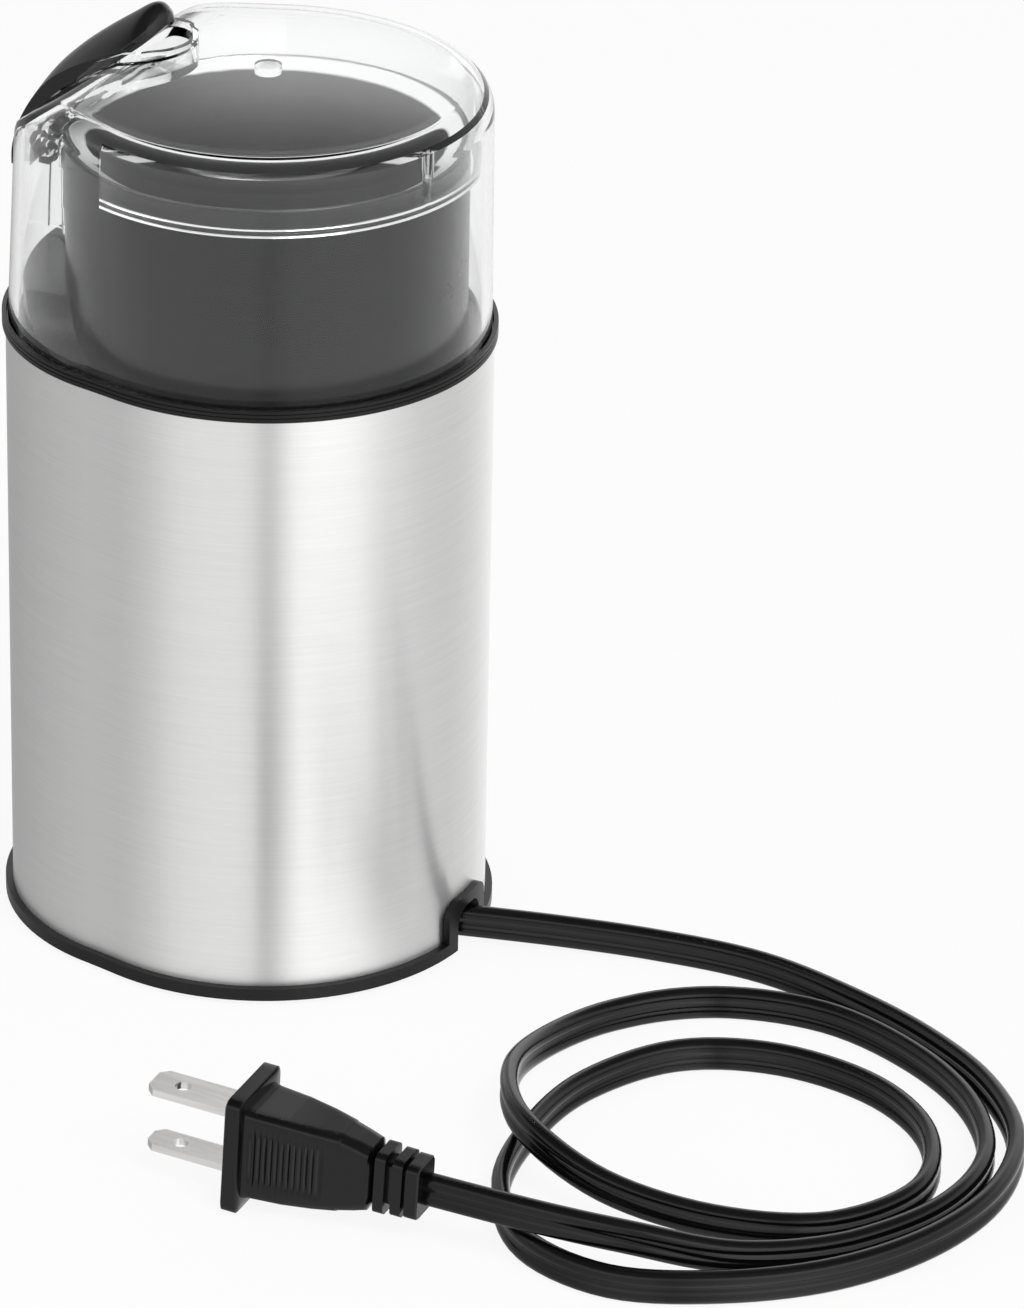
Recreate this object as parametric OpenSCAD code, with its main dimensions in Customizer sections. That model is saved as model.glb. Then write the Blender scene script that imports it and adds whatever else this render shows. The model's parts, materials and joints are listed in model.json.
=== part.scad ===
// Electric spice grinder: a steel-clad motor body with a steel bowl, a two-wing blade
// and a clear lid whose press lever works the switch. Millimetres, +Z up, floor at zero,
// the long axis along X with the lever towards -X and the cord outlet towards +X.

/* [Body outline] */
// Radius of the body's end round the bowl
cup_end_r = 45.4; // [44.6:0.1:50]
// Step in radius from the end round the bowl to the end at the lever
end_step = 2.2; // [1.6:0.1:2.8]
// Distance between the centres of the two ends
end_gap = 10.2; // [9.4:0.1:14]
// Thickness of the moulded ribs, skirts and cradle walls
wall = 2; // [1.6:0.1:2.4]
// Clearance between parts that slide together by hand
fit = 0.2; // [0.1:0.05:0.3]
// Facet count of the round cuts
fine = 96; // [64:8:128]

/* [Base] */
// Height of the rubber feet under the base
feet_h = 1; // [0.6:0.1:2]
// Radius of a rubber foot
foot_r = 5; // [4:0.1:6]
// Depth of the pocket that holds a foot
foot_seat = 0.8; // [0.5:0.1:1.2]
// Thickness of the base plate and its lip
base_t = 2.6; // [2.2:0.1:4]
// Distance that the lip stands proud of the steel
lip_proud = 1.5; // [1:0.1:2.5]
// Height of the rib that centres the steel shell
rib_h = 6; // [4:0.5:9]
// Distance from the outline to the screw posts
post_inset = 6.8; // [6.4:0.1:8]
// Radius of a screw boss in the base
boss_r = 5; // [4.4:0.1:5.2]
// Height of the screw bosses above the base plate
boss_h = 18.4; // [14:0.1:24]
// Radius of a base screw's head
screw_head_r = 3; // [2.4:0.1:3.4]
// Radius of a base screw's shank
screw_r = 1.5; // [1.2:0.1:1.8]
// Length of a base screw's shank
screw_len = 18; // [12:0.5:24]
// Width of a vent slot in the base plate
vent_w = 3; // [2:0.1:3.6]
// Length of a vent slot in the base plate
vent_len = 22; // [14:0.5:28]

/* [Steel shell] */
// Height of the steel shell
shell_h = 124.9; // [121:0.1:140]
// Thickness of the steel sheet
shell_t = 0.8; // [0.5:0.1:1]

/* [Top ring] */
// Height of the ring over the steel
ring_h = 2.5; // [2:0.1:4]
// Distance that the ring stands proud of the steel
ring_proud = 0.7; // [0.4:0.1:1.5]
// Thickness of the ring's inner flange
ring_t = 0.6; // [0.5:0.1:1]
// Width of the ring's inner flange
ring_flange = 1.8; // [1.4:0.1:2.4]
// Depth and height of the ring's two fine lines
ring_line = 0.2; // [0.1:0.05:0.3]

/* [Upper housing] */
// Thickness of the deck's outer edge
deck_t = 0.8; // [0.6:0.1:1.4]
// Thickness of the deck inside the ring
deck_rib = 2.9; // [2.4:0.1:4]
// Height of the bowl tower above the deck
tower_h = 40.4; // [36:0.1:46]
// Thickness of the bowl tower's wall
tower_wall = 3.55; // [3.2:0.05:3.9]
// Depth of the skirt inside the steel shell
skirt_h = 13.5; // [8:0.1:15]
// Thickness of the tower's floor
floor_t = 3.5; // [2.6:0.1:4.5]
// Radius of the posts that reach down to the base
post_r = 4; // [3:0.1:4.4]
// Half the width of the fairing's flat top
fairing_half = 27; // [22:0.5:29]
// Height of the fairing above the deck
fairing_h = 10.1; // [8:0.1:11]
// Radius of the fairing's swept ends
fairing_sweep = 12; // [11.2:0.1:14]

/* [Bowl] */
// Distance from the body's outline to the outside of the steel bowl
bowl_inset = 9.2; // [8.9:0.05:9.6]
// Gap between the bowl and the tower's bore
bowl_fit = 0.25; // [0.15:0.05:0.4]
// Thickness of the bowl's sheet
bowl_t = 0.8; // [0.6:0.1:1]
// Width of the bowl's sloping lip outside its wall
lip_w = 2.6; // [2.2:0.05:2.8]
// Rise of the bowl's lip from its inner edge to its outer edge
lip_rise = 2; // [1.4:0.1:2.4]
// Height of the lip's outer edge above the tower's rim
lip_above = 0.4; // [0.2:0.05:0.8]
// Depth of the bowl below the tower's rim
bowl_h = 52.8; // [48:0.1:56]
// Radius of the bowl's bottom corner
bowl_corner = 10; // [6:0.1:14]
// Radius of the bowl's centre hole
bowl_hole = 7; // [6:0.1:8.5]
// Thickness of the seal's flange under the bowl
seal_t = 2; // [1.4:0.1:3]
// Height of the seal's neck above the bowl's underside
seal_neck = 1.6; // [1.2:0.1:1.8]
// Width of the seal's flange beyond the bowl's hole
seal_flange = 2; // [1.5:0.1:3]

/* [Blade] */
// Reach of a blade wing from the shaft
blade_reach = 31; // [26:0.1:34]
// Width of a blade wing at the shaft
blade_root = 14; // [10:0.1:16]
// Width of a blade wing at its tip
blade_tip = 8; // [5:0.1:10]
// Thickness of the blade
blade_t = 1.4; // [1:0.1:2]
// Height of the blade's seat above the bowl's underside
blade_rise = 6.5; // [5:0.1:9]
// Radius of the hub under the blade
hub_r = 6.5; // [5:0.1:8]
// Radius of the dome nut over the blade
nut_r = 5; // [4.6:0.1:6]
// Angle of the upturned and downturned wing ends
wing_angle = 16; // [8:1:20]

/* [Motor] */
// Radius of the motor shaft
shaft_r = 3; // [2.6:0.1:3.4]
// Running clearance of the shaft in its bearings
run_fit = 0.05; // [0.02:0.01:0.09]
// Outer radius of a bearing
bearing_r = 8; // [7:0.1:9]
// Height of a bearing
bearing_h = 7; // [5:0.1:8]
// Wall of a bearing boss
bearing_wall = 3; // [2:0.1:4]
// Height of the rubber dampers over the motor
damper_h = 10; // [9:0.1:12]
// Radius of a rubber damper
damper_r = 4.5; // [4:0.1:6]
// Thickness of the motor brackets
bracket_t = 3; // [2.4:0.1:4]
// Distance from the coil windows to the motor screws
bolt_room = 3.3; // [2.8:0.1:3.6]
// Radius of a motor screw
bolt_r = 1.6; // [1.3:0.1:1.8]
// Radius of a bracket leg
leg_r = 3.5; // [3:0.1:4]
// Length of the upper bracket's legs
leg_up = 17; // [15.6:0.1:20]
// Length of the lower bracket's legs
leg_low = 23; // [22:0.1:26]
// Gap between the base plate and the end of the motor shaft
motor_gap = 17.4; // [15:0.1:20]
// Depth of the stator beyond its coil windows
stator_rim = 6.5; // [5.8:0.1:7.4]
// Outer radius of the windows for the coils
window_r = 22.5; // [22:0.1:23]
// Thickness of the stator beside its windows
stator_wall = 2.5; // [1.4:0.1:4]
// Height of a window between the poles
window_w = 22; // [18:0.1:24]
// Thickness of the field coils
coil_t = 5; // [4.4:0.1:5.6]
// Air gap between rotor and stator
air_gap = 0.6; // [0.4:0.05:0.9]
// Wall of the insulation round the field coils
coil_gap = 0.3; // [0.2:0.05:0.5]
// Height of a field coil beyond the stack
coil_over = 4.5; // [3:0.1:5.5]
// Height of the rotor's end turns
turn_h = 7; // [5:0.1:8]
// Radius of the commutator
comm_r = 9; // [7.5:0.1:10]
// Height of the commutator
comm_h = 11; // [9:0.1:12]
// Number of commutator bars and rotor slots
bars = 18; // [12:2:24]
// Gap between the cooling fan and the bracket's legs
fan_gap = 2.8; // [2:0.1:4]
// Height of the cooling fan
fan_h = 7; // [5:0.1:8]
// Number of fan blades
fan_blades = 9; // [6:1:14]
// Width of a carbon brush
brush_w = 5; // [4:0.1:6]
// Length of a carbon brush
brush_len = 8; // [6:0.1:9]
// Wall of a brush holder
holder_wall = 1.5; // [1:0.1:1.8]
// Length of a brush holder
holder_len = 14; // [12:0.1:15]

/* [Switch] */
// Radius of the switch plunger
plunger_r = 2.4; // [2:0.1:2.6]
// Radius of the push rod in the lid
rod_r = 1.75; // [1.5:0.05:1.9]
// Length of the switch case along Y
switch_len = 20; // [16:0.1:20]
// Depth of the switch case
switch_w = 7.6; // [6.6:0.1:7.8]
// Height of the switch case
switch_h = 15; // [12:0.1:18]
// Depth of the plunger's tip below the fairing's top
plunger_drop = 0.5; // [0.3:0.05:0.8]
// Distance from the tower's wall to the rod's axis
rod_gap = 3.6; // [3.4:0.05:3.8]

/* [Lid] */
// Thickness of the clear lid's wall
lid_wall = 2; // [1.6:0.1:2.2]
// Distance from the body's outline to the lid's lower edge
lid_inset = 0.5; // [0.4:0.05:0.8]
// Height of the lid from its lower edge to the crown
lid_h = 55.6; // [53:0.1:60]
// Rise of the crown above the shoulder
crown_rise = 3.5; // [2.5:0.1:5]
// Radius of the lid's shoulder
shoulder_r = 6.3; // [5:0.1:7]
// Lean of the lid's wall at the bowl end
lean_cup = 0.3; // [0.1:0.1:0.6]
// Lean of the lid's wall at the lever end
lean_lever = 2; // [1:0.1:2.2]
// Gap between the tower and the skirt inside the lid
cuff_gap = 0.6; // [0.4:0.1:0.8]
// Thickness of the skirt inside the lid
cuff_t = 1.4; // [1.2:0.1:1.6]
// Overlap of the skirt and the tower
cuff_lap = 4.4; // [3:0.1:8]
// Half angle of the skirt about the bowl end
cuff_angle = 112; // [100:1:120]

/* [Lever] */
// Distance from the pin to the lever's tip along X
lever_reach = 28.3; // [27:0.1:30]
// Height of the tip's lower edge above the pin
lever_rise = 28.1; // [27.6:0.1:30]
// Half the width of the lever
lever_half = 9.5; // [8:0.1:10]
// Half the width of the lever's tail at the pin
tail_half = 5; // [4:0.1:5.4]
// Radius of the hinge pin
pin_r = 0.8; // [0.6:0.05:1]
// Wall of the barrel round the pin
barrel_wall = 1.15; // [0.9:0.05:1.2]
// Height of the pin above the lid's lower edge
pin_rise = 31.6; // [30:0.1:33]
// Depth of the pin behind the lid's face
pin_depth = 1.6; // [1.5:0.05:1.8]
// Side clearance of the lever in its well
well_gap = 0.7; // [0.4:0.1:1]
// Thickness of the well's walls
well_wall = 1.2; // [1:0.1:1.4]
// Thickness of the finger that pushes the rod
finger_t = 2.4; // [1.8:0.1:2.6]
// Width of the finger that pushes the rod
finger_w = 5; // [4:0.1:6]

/* [Cord outlet] */
// Half the width of the arch round the outlet
arch_half = 8; // [7:0.1:10]
// Height of the arch above the base plate
arch_h = 8.8; // [8.6:0.1:13]
// Radius of the arch's corners
arch_corner = 4; // [2:0.1:5]
// Thickness of the arch's frame
arch_frame = 3.2; // [2.6:0.1:3.6]
// Depth of the cord's bush behind the steel
bush_recess = 2.4; // [2.2:0.1:3.4]
// Length of the cord's bush
bush_len = 6; // [4.5:0.1:8]
// Height of the clamp bar
clamp_t = 2.5; // [2:0.1:3.5]

/* [Cord and plug] */
// Height of the flat twin cord
cord_w = 7; // [6:0.1:7.4]
// Thickness of the flat twin cord
cord_t = 3.6; // [3:0.1:3.9]
// Height of the cord's centre where it leaves the bush
cord_rise = 5.2; // [4.9:0.1:5.6]
// Turn of the plug about the vertical
plug_turn = 2; // [0:1:6]
// Downward tilt of the plug towards its cord
plug_tilt = 3; // [0:1:5]
// Length of a plug blade
prong_len = 18.8; // [16:0.1:20]
// Thickness of a plug blade
prong_t = 1.5; // [1.2:0.1:1.8]
// Width of the narrow plug blade
prong_w = 6.3; // [5:0.1:7]
// Extra width of the wide plug blade
prong_more = 1.6; // [0.8:0.1:2]
// Distance between the two plug blades
prong_gap = 12.7; // [11:0.1:14]
// Distance from a blade's hole to its tip
hole_gap = 6.2; // [5:0.1:7]
// Radius of a blade's hole
hole_r = 1.6; // [1.2:0.1:1.9]
// Thickness of the plug's flange
flange_t = 3.4; // [3:0.1:5]
// Width of the plug's flange
flange_w = 18.6; // [17:0.1:22]
// Height of the plug's flange
flange_h = 24.8; // [22:0.1:26]
// Length of the plug's grip behind the flange
grip_len = 18.9; // [16:0.1:22]
// Width of the plug's grip
grip_w = 14; // [12:0.1:16]
// Height of the plug's grip
grip_h = 19; // [16:0.1:20]
// Length of the plug's neck
neck_len = 6.2; // [5:0.1:9]
// Length of the plug's segmented strain relief
relief_len = 10.4; // [9:0.1:14]
// Width of the strain relief
relief_w = 8; // [6:0.1:9]
// Height of the strain relief
relief_h = 11.6; // [10:0.1:13]

/* [Hidden] */

// Length by which a cut runs past what it cuts
over = 1;
// Small overlap that joins two shapes of one piece
blend = 0.2;
// Radius of the end at the lever, and the centres of the two ends, centred on the origin
lever_end_r = cup_end_r - end_step;
cup_x = (end_gap + lever_end_r - cup_end_r) / 2;
lever_x = cup_x - end_gap;
// Direction of the line where the flat side meets the two ends
side_nx = (lever_end_r - cup_end_r) / end_gap;
side_ny = sqrt(1 - side_nx * side_nx);
// Depth of the flat sides below the tangents of the two ends
side_sink = 0.05;

// Heights of the body
base_top = feet_h + base_t;
boss_top = base_top + boss_h;
shell_top = base_top + shell_h;
deck_top = shell_top + ring_t + deck_t;
rim_z = deck_top + tower_h;
bowl_z = rim_z - bowl_h;
bowl_r = cup_end_r - bowl_inset;
// The bowl's lip: its outer edge, its two heights, its slope and the height of its sheet
lip_r = bowl_r + lip_w;
lip_high = rim_z + lip_above;
lip_low = lip_high - lip_rise;
lip_slope = lip_rise / (lip_w + bowl_t);
lip_h = bowl_t * sqrt(1 + lip_slope * lip_slope);
// Gap between the lip and its seat in the tower
lip_gap = 0.05;
floor_top = bowl_z - seal_t;
floor_z = floor_top - floor_t;
tower_bore = bowl_r + bowl_fit;
tower_r = tower_bore + tower_wall;

// Places of the four screw posts
post_cup_angle = 43;
post_lever_angle = 45;
post_places = [for (side = [-1, 1]) for (end = [0, 1]) end == 0
    ? [cup_x + (cup_end_r - post_inset) * cos(post_cup_angle),
       side * (cup_end_r - post_inset) * sin(post_cup_angle), 0]
    : [lever_x - (lever_end_r - post_inset) * cos(post_lever_angle),
       side * (lever_end_r - post_inset) * sin(post_lever_angle), 1]];
// Height of a screw head inside its boss
screw_head_h = 2.4;
// Thickness of the boss under the screw head
boss_web = 6;
// Clearance between a screw and its thread
thread_fit = 0.02;

// Heights of the motor, from the tower's floor down
bracket_up_top = floor_z - damper_h;
bracket_up_z = bracket_up_top - bracket_t;
stack_top = bracket_up_z - leg_up;
bearing_floor = 1;
// Length of the shaft under its lower bearing's floor
shaft_stub = 1;
shaft_end = base_top + motor_gap;
bearing_low_z = shaft_end + shaft_stub + bearing_floor;
bracket_low_z = bearing_low_z + bearing_h;
bracket_low_top = bracket_low_z + bracket_t;
stack_z = bracket_low_top + leg_low;
stack_h = stack_top - stack_z;
// Radii of the motor, from the coil windows out and in
stator_flat = 2 * (window_r + stator_wall);
stator_r = window_r + stator_rim;
bolt_gap = window_r + bolt_room;
fan_r = bolt_gap - leg_r - fan_gap;
rotor_r = window_r - coil_t - 3 * coil_gap - air_gap;
// Clearance round the shaft where it passes a bracket
shaft_clear = 1;
// Clearance between the commutator and the pieces round it
comm_gap = 1;
comm_z = bracket_low_top + 2 * coil_over / 3 + comm_gap;
blade_z = bowl_z + blade_rise;
bracket_half = leg_r + bearing_wall;
bracket_fan_gap = 2;
fan_z = bracket_up_z - bracket_fan_gap - fan_h;

// Places of the switch and its rods
rod_x = cup_x - tower_r - rod_gap;
plunger_top = deck_top + fairing_h - plunger_drop;
case_top = deck_top - deck_rib;
case_z = case_top - switch_h;
spring_h = 7;
spring_z = case_z + wall;
plunger_z = spring_z + spring_h;
rest_gap = 0.3;
rod_z = plunger_top + rest_gap;
// Depth of the guide's top under the lever's pin
guide_drop = 1.5;
guide_top = pin_rise + deck_top - guide_drop;
// Clearance between the guide and the fairing under it
guide_gap = 1;
guide_z = deck_top + fairing_h + guide_gap;
guide_wall = 1.2;
rod_head_h = 2;
rod_head_rise = 1;
rod_head_lap = 0.45;
rod_head_r = rod_r + rod_head_lap;
rod_top = guide_top + rod_head_rise + rod_head_h;

// Heights and places of the lid and its lever
lid_top = deck_top + lid_h;
shoulder_z = lid_top - crown_rise - shoulder_r;
pin_z = deck_top + pin_rise;
lean_at_pin = lean_lever * pin_rise / (shoulder_z - deck_top);
pin_x = lever_x - lever_end_r + lid_inset + lean_at_pin + pin_depth;
barrel_r = pin_r + run_fit + barrel_wall;
tip_x = pin_x + lever_reach;
// Sections of the lever from its tip to its tail: a share of its half width, then its lower
// edge, the top of its sides and its crown in shares of its reach and rise
lever_section_shares = [
    [0.158, [1.000, 1.000], [0.986, 1.043], [0.979, 1.085]],
    [0.442, [0.961, 0.954], [0.940, 1.021], [0.919, 1.132]],
    [0.737, [0.890, 0.883], [0.880, 0.957], [0.837, 1.110]],
    [0.926, [0.781, 0.797], [0.781, 0.868], [0.728, 1.036]],
    [1.000, [0.654, 0.701], [0.647, 0.790], [0.576, 0.929]],
    [1.000, [0.516, 0.623], [0.502, 0.722], [0.435, 0.822]],
    [1.000, [0.389, 0.537], [0.360, 0.644], [0.307, 0.715]],
    [1.000, [0.240, 0.423], [0.201, 0.527], [0.166, 0.573]],
    [1.000, [0.117, 0.263], [0.067, 0.359], [0.046, 0.395]],
    [1.000, [0.007, 0.096], [-0.039, 0.160], [-0.053, 0.174]],
    [1.000, [-0.046, -0.043], [-0.088, -0.018], [-0.095, -0.014]],
    [1.000, [-0.074, -0.160], [-0.095, -0.157], [-0.102, -0.153]]
];
// Slope of the lid under the lever, from the wall up to the crown, in the same shares
lid_slope_shares = [[-0.085, -0.338], [-0.049, -0.160], [-0.021, -0.046], [0.028, 0.096],
    [0.131, 0.267], [0.247, 0.423], [0.399, 0.544], [0.523, 0.633],
    [0.657, 0.726], [0.788, 0.822]];
// Floor of the lever's well, in shares of the lever's reach and rise, from the inner end down
well_floor_shares = [[0.756, 0.601], [0.58, 0.53], [0.304, 0.381], [0.173, 0.217], [0.092, 0.075]];
// Top edge of the rim round the lever's tip, in the same shares
rim_edge_shares = [[1.2, 0.879], [1.0, 0.886], [0.827, 0.865], [0.629, 0.772], [0.456, 0.609]];
well_tip_gap = 3.6;
well_end = tip_x + well_tip_gap;
well_half = lever_half + well_gap;
tail_well_half = tail_half + rest_gap;
tail_well_share = 0.07;
tail_foot_share = -0.115;
finger_top_share = 0.45;
slot_top_share = 0.7;

// Places of the cord's outlet
outlet_face = cup_x + cup_end_r - bush_recess;
bush_back = outlet_face - bush_len;
slot_half = arch_half - arch_frame;
slot_top = base_top + arch_h - arch_frame * 0.75;
bush_half = slot_half - fit;
bush_z = feet_h + fit;
cord_round = cord_t / 2;
lead_r = 1;
clamp_half = 9;
clamp_len = 5;
clamp_x = bush_back - 2 * wall - 3 * fit - clamp_len;
clamp_post_r = 2.8;
clamp_z = cord_rise + cord_w / 2;

// The plug, measured along its axis from the hole in its blades
flange_x = prong_len - hole_gap;
grip_x = flange_x + flange_t;
neck_x = grip_x + grip_len;
relief_x = neck_x + neck_len;
plug_len = relief_x + relief_len;
plug_end = [93.6, -107.7, flange_h / 2 * cos(plug_tilt) - (plug_len - grip_x) * sin(plug_tilt)];

// Route of the cord's centre from the bush to the plug, lying on the floor in two open loops
cord_route = [
    [outlet_face, 0, cord_rise], [68, 7, 4.2], [89, 12, 3.5], [111, 13, 3.5], [132, 8, 3.5],
    [152, 0, 3.5], [170, -12, 3.5], [183, -29, 3.5], [187, -50, 3.5], [182.5, -71, 3.5],
    [171, -90, 3.5], [154, -104, 3.5], [134, -112, 3.5], [114, -107, 3.5], [101, -90, 3.5],
    [97, -68, 3.5], [99, -47, 3.5], [110, -28, 3.5], [129, -20, 3.5], [151, -23, 3.5],
    [167.5, -36, 3.5], [173.5, -56, 3.5], [163.5, -75, 3.5], [143, -84, 4.2], [121, -86.5, 7.4],
    [101, -79, 11.1], [89, -61, 9.4], [85.5, -40, 5.4], [92, -19, 3.6], [108, -4.5, 3.5],
    [130, 0, 3.5], [152, -7, 3.5], [170, -20.5, 3.5], [180.5, -39, 3.5], [180, -60, 3.5],
    [169.5, -80, 3.5], [153, -95.5, 5.2], [134, -105.6, 9.9], [116, -109, 11.4], plug_end
];
cord_steps = 2;
exit_way = [1, 0, 0];
plug_way = [-cos(plug_turn) * cos(plug_tilt), -sin(plug_turn) * cos(plug_tilt), sin(plug_tilt)];

// Outline of the body grown by d, as two ends joined by sides that lie just under their tangents
module outline(d) {
    cup = cup_end_r + d;
    lever = lever_end_r + d;
    cup_side = cup - side_sink;
    lever_side = lever - side_sink;
    translate([cup_x, 0]) circle(cup, $fn = fine);
    translate([lever_x, 0]) circle(lever, $fn = fine);
    polygon([
        [cup_x + cup_side * side_nx, cup_side * side_ny],
        [lever_x + lever_side * side_nx, lever_side * side_ny],
        [lever_x + lever_side * side_nx, -lever_side * side_ny],
        [cup_x + cup_side * side_nx, -cup_side * side_ny]
    ]);
}

// Plate with the body's outline between two heights
module outline_plate(d, low, high) {
    translate([0, 0, low]) linear_extrude(high - low) outline(d);
}

// Wall that follows the body's outline between two offsets and two heights
module outline_wall(outer, inner, low, high) {
    difference() {
        outline_plate(outer, low, high);
        outline_plate(inner, low - over, high + over);
    }
}

// Upright cylinder on the bowl's axis between two heights
module axis_rod(r, low, high) {
    translate([cup_x, 0, low]) cylinder(r = r, h = high - low, $fn = fine);
}

// Tube on the bowl's axis between two heights
module axis_tube(outer, inner, low, high) {
    difference() {
        axis_rod(outer, low, high);
        axis_rod(inner, low - over, high + over);
    }
}

// Block between two corners
module block(low, high) {
    translate(low) cube(high - low);
}

// Arch outline in the YZ plane, standing on its lower edge
module arch(half, height, corner) {
    translate([-half, 0]) square([2 * half, height - corner]);
    translate([corner - half, 0]) square([2 * (half - corner), height]);
    for (side = [-1, 1])
        translate([side * (half - corner), height - corner]) circle(corner, $fn = fine);
}

// A YZ outline carried along X between two places
module along_x(from, to, low) {
    translate([from, 0, low]) rotate([90, 0, 90]) linear_extrude(to - from) children();
}

// An XZ outline carried along Y over a half width
module along_y(half) {
    translate([0, half, 0]) rotate([90, 0, 0]) linear_extrude(2 * half) children();
}

module steel_shell() {
    color("silver") difference() {
        outline_wall(0, -shell_t, base_top, shell_top);
        along_x(outlet_face - over, outlet_face + bush_recess + over, base_top - over)
            arch(arch_half - wall / 2, arch_h - wall / 2 + over, arch_corner - wall / 2);
    }
}

// Slot for the cord, open to the floor
module cord_slot() {
    along_x(bush_back, outlet_face + bush_recess + lip_proud + over, feet_h - over)
        arch(slot_half, slot_top - feet_h + over, slot_half - wall / 2);
}

module base_cover() {
    rib_outer = -shell_t - fit;
    color("#1c1c1e") difference() {
        union() {
            outline_plate(lip_proud, feet_h, base_top);
            outline_wall(rib_outer, rib_outer - wall, base_top - blend, base_top + rib_h);
            intersection() {
                outline_wall(lip_proud, fit / 2, base_top - blend, base_top + arch_h);
                along_x(outlet_face, outlet_face + bush_recess + lip_proud + over, base_top - over)
                    arch(arch_half, arch_h + over, arch_corner);
            }
            intersection() {
                outline_wall(fit, rib_outer - wall, base_top - blend, base_top + arch_h);
                along_x(outlet_face - wall, outlet_face + bush_recess + over, base_top - over)
                    arch(arch_half - wall / 2 - fit, arch_h - wall / 2 - fit + over,
                        arch_corner - wall / 2);
            }
            for (side = [-1, 1]) {
                block([bush_back - wall, side * (slot_half + wall / 2) - wall / 2, base_top - blend],
                    [outlet_face, side * (slot_half + wall / 2) + wall / 2, slot_top]);
                translate([clamp_x + clamp_len / 2, side * clamp_half, base_top - blend])
                    cylinder(r = clamp_post_r, h = clamp_z - base_top + blend, $fn = fine);
            }
            for (place = post_places)
                translate([place[0], place[1], base_top - blend])
                    cylinder(r = boss_r, h = boss_h + blend, $fn = fine);
        }
        cord_slot();
        for (place = post_places) translate([place[0], place[1], 0]) {
            translate([0, 0, feet_h - over])
                cylinder(r = foot_r + fit / 2, h = foot_seat + over, $fn = fine);
            translate([0, 0, feet_h])
                cylinder(r = screw_head_r + fit, h = boss_top - boss_web - feet_h, $fn = fine);
            cylinder(r = screw_r + fit, h = boss_top + over, $fn = fine);
        }
        for (side = [-1, 1])
            translate([clamp_x + clamp_len / 2, side * clamp_half, base_top])
                cylinder(r = screw_r * 2 / 3 + thread_fit, h = clamp_z, $fn = fine);
        for (row = [-2:2]) for (end = [-1, 1])
            block([end * (vent_len / 2 + vent_w) - vent_len / 2, row * 2 * vent_w - vent_w / 2,
                    feet_h - over],
                [end * (vent_len / 2 + vent_w) + vent_len / 2, row * 2 * vent_w + vent_w / 2,
                    base_top + over]);
    }
}

module rubber_feet() {
    color("#2a2a2a") for (place = post_places)
        translate([place[0], place[1], 0]) cylinder(r = foot_r, h = feet_h + foot_seat, $fn = fine);
}

module base_screws() {
    color("lightgray") for (place = post_places)
        translate([place[0], place[1], boss_top - boss_web - screw_head_h]) {
            difference() {
                cylinder(r = screw_head_r, h = screw_head_h, $fn = fine);
                for (turn = [0, 90]) rotate([0, 0, turn])
                    block([-screw_r, -screw_r / 4, -over], [screw_r, screw_r / 4, screw_head_h / 2]);
            }
            translate([0, 0, screw_head_h - blend])
                cylinder(r = screw_r, h = screw_len + blend, $fn = fine);
        }
}

module top_ring() {
    color("#161617") difference() {
        union() {
            outline_wall(ring_proud, -fit, shell_top, shell_top + ring_h);
            outline_wall(0, -fit - ring_flange, shell_top, shell_top + ring_t);
        }
        for (line = [1, 2])
            outline_wall(ring_proud + over, ring_proud - ring_line, shell_top + line * ring_h / 3,
                shell_top + line * ring_h / 3 + ring_line);
    }
}

// Side profile of the fairing in the YZ plane: a flat top with concave swept ends
module fairing_profile() {
    foot_share = 0.8;
    difference() {
        translate([-fairing_half - foot_share * fairing_sweep, 0])
            square([2 * (fairing_half + foot_share * fairing_sweep), fairing_h]);
        for (side = [-1, 1])
            translate([side * (fairing_half + fairing_sweep), fairing_sweep])
                circle(fairing_sweep, $fn = fine);
    }
}

// Cut in the tower's rim that takes the bowl's lip
module lip_seat() {
    seat_z = lip_high - lip_h - lip_gap;
    seat_r = lip_r + lip_h / 2 + lip_gap;
    start = tower_bore - over;
    translate([cup_x, 0, 0]) rotate_extrude($fn = fine) polygon([
        [start, seat_z - (lip_r - start) * lip_slope], [lip_r, seat_z], [seat_r, seat_z],
        [seat_r, rim_z + over], [start, rim_z + over]
    ]);
}

module upper_housing() {
    skirt = -shell_t - fit;
    fairing_inset = lid_inset + lean_lever / 2 + lid_wall + fit;
    color("#46474a") difference() {
        union() {
            outline_plate(-fit - lid_inset / 3, deck_top - deck_t, deck_top);
            outline_plate(-fit - ring_flange - fit, deck_top - deck_rib, deck_top);
            outline_wall(skirt, skirt - wall, shell_top - skirt_h, shell_top);
            axis_rod(tower_r, floor_z, rim_z);
            intersection() {
                outline_plate(-fairing_inset, deck_top - blend, deck_top + fairing_h);
                along_x(lever_x - lever_end_r, cup_x - tower_r / 4, deck_top - blend)
                    fairing_profile();
            }
            for (place = post_places)
                translate([place[0], place[1], boss_top])
                    cylinder(r = post_r,
                        h = (place[2] == 0 ? floor_top : deck_top - blend) - boss_top, $fn = fine);
        }
        axis_rod(tower_bore, floor_top, rim_z + over);
        lip_seat();
        axis_rod(bowl_hole, floor_z - over, floor_top + over);
        translate([rod_x, 0, case_top - over])
            cylinder(r = plunger_r + run_fit, h = deck_rib + fairing_h + 2 * over, $fn = fine);
        for (place = post_places)
            translate([place[0], place[1], boss_top - over])
                cylinder(r = screw_r + thread_fit, h = screw_len - boss_web + 2 * over, $fn = fine);
    }
}

// Half profile of a round bowl with a rounded bottom corner
module bowl_profile(r, height, corner) {
    square([r - corner, height]);
    translate([0, corner]) square([r, height - corner]);
    translate([r - corner, corner]) circle(corner, $fn = fine);
}

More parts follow.
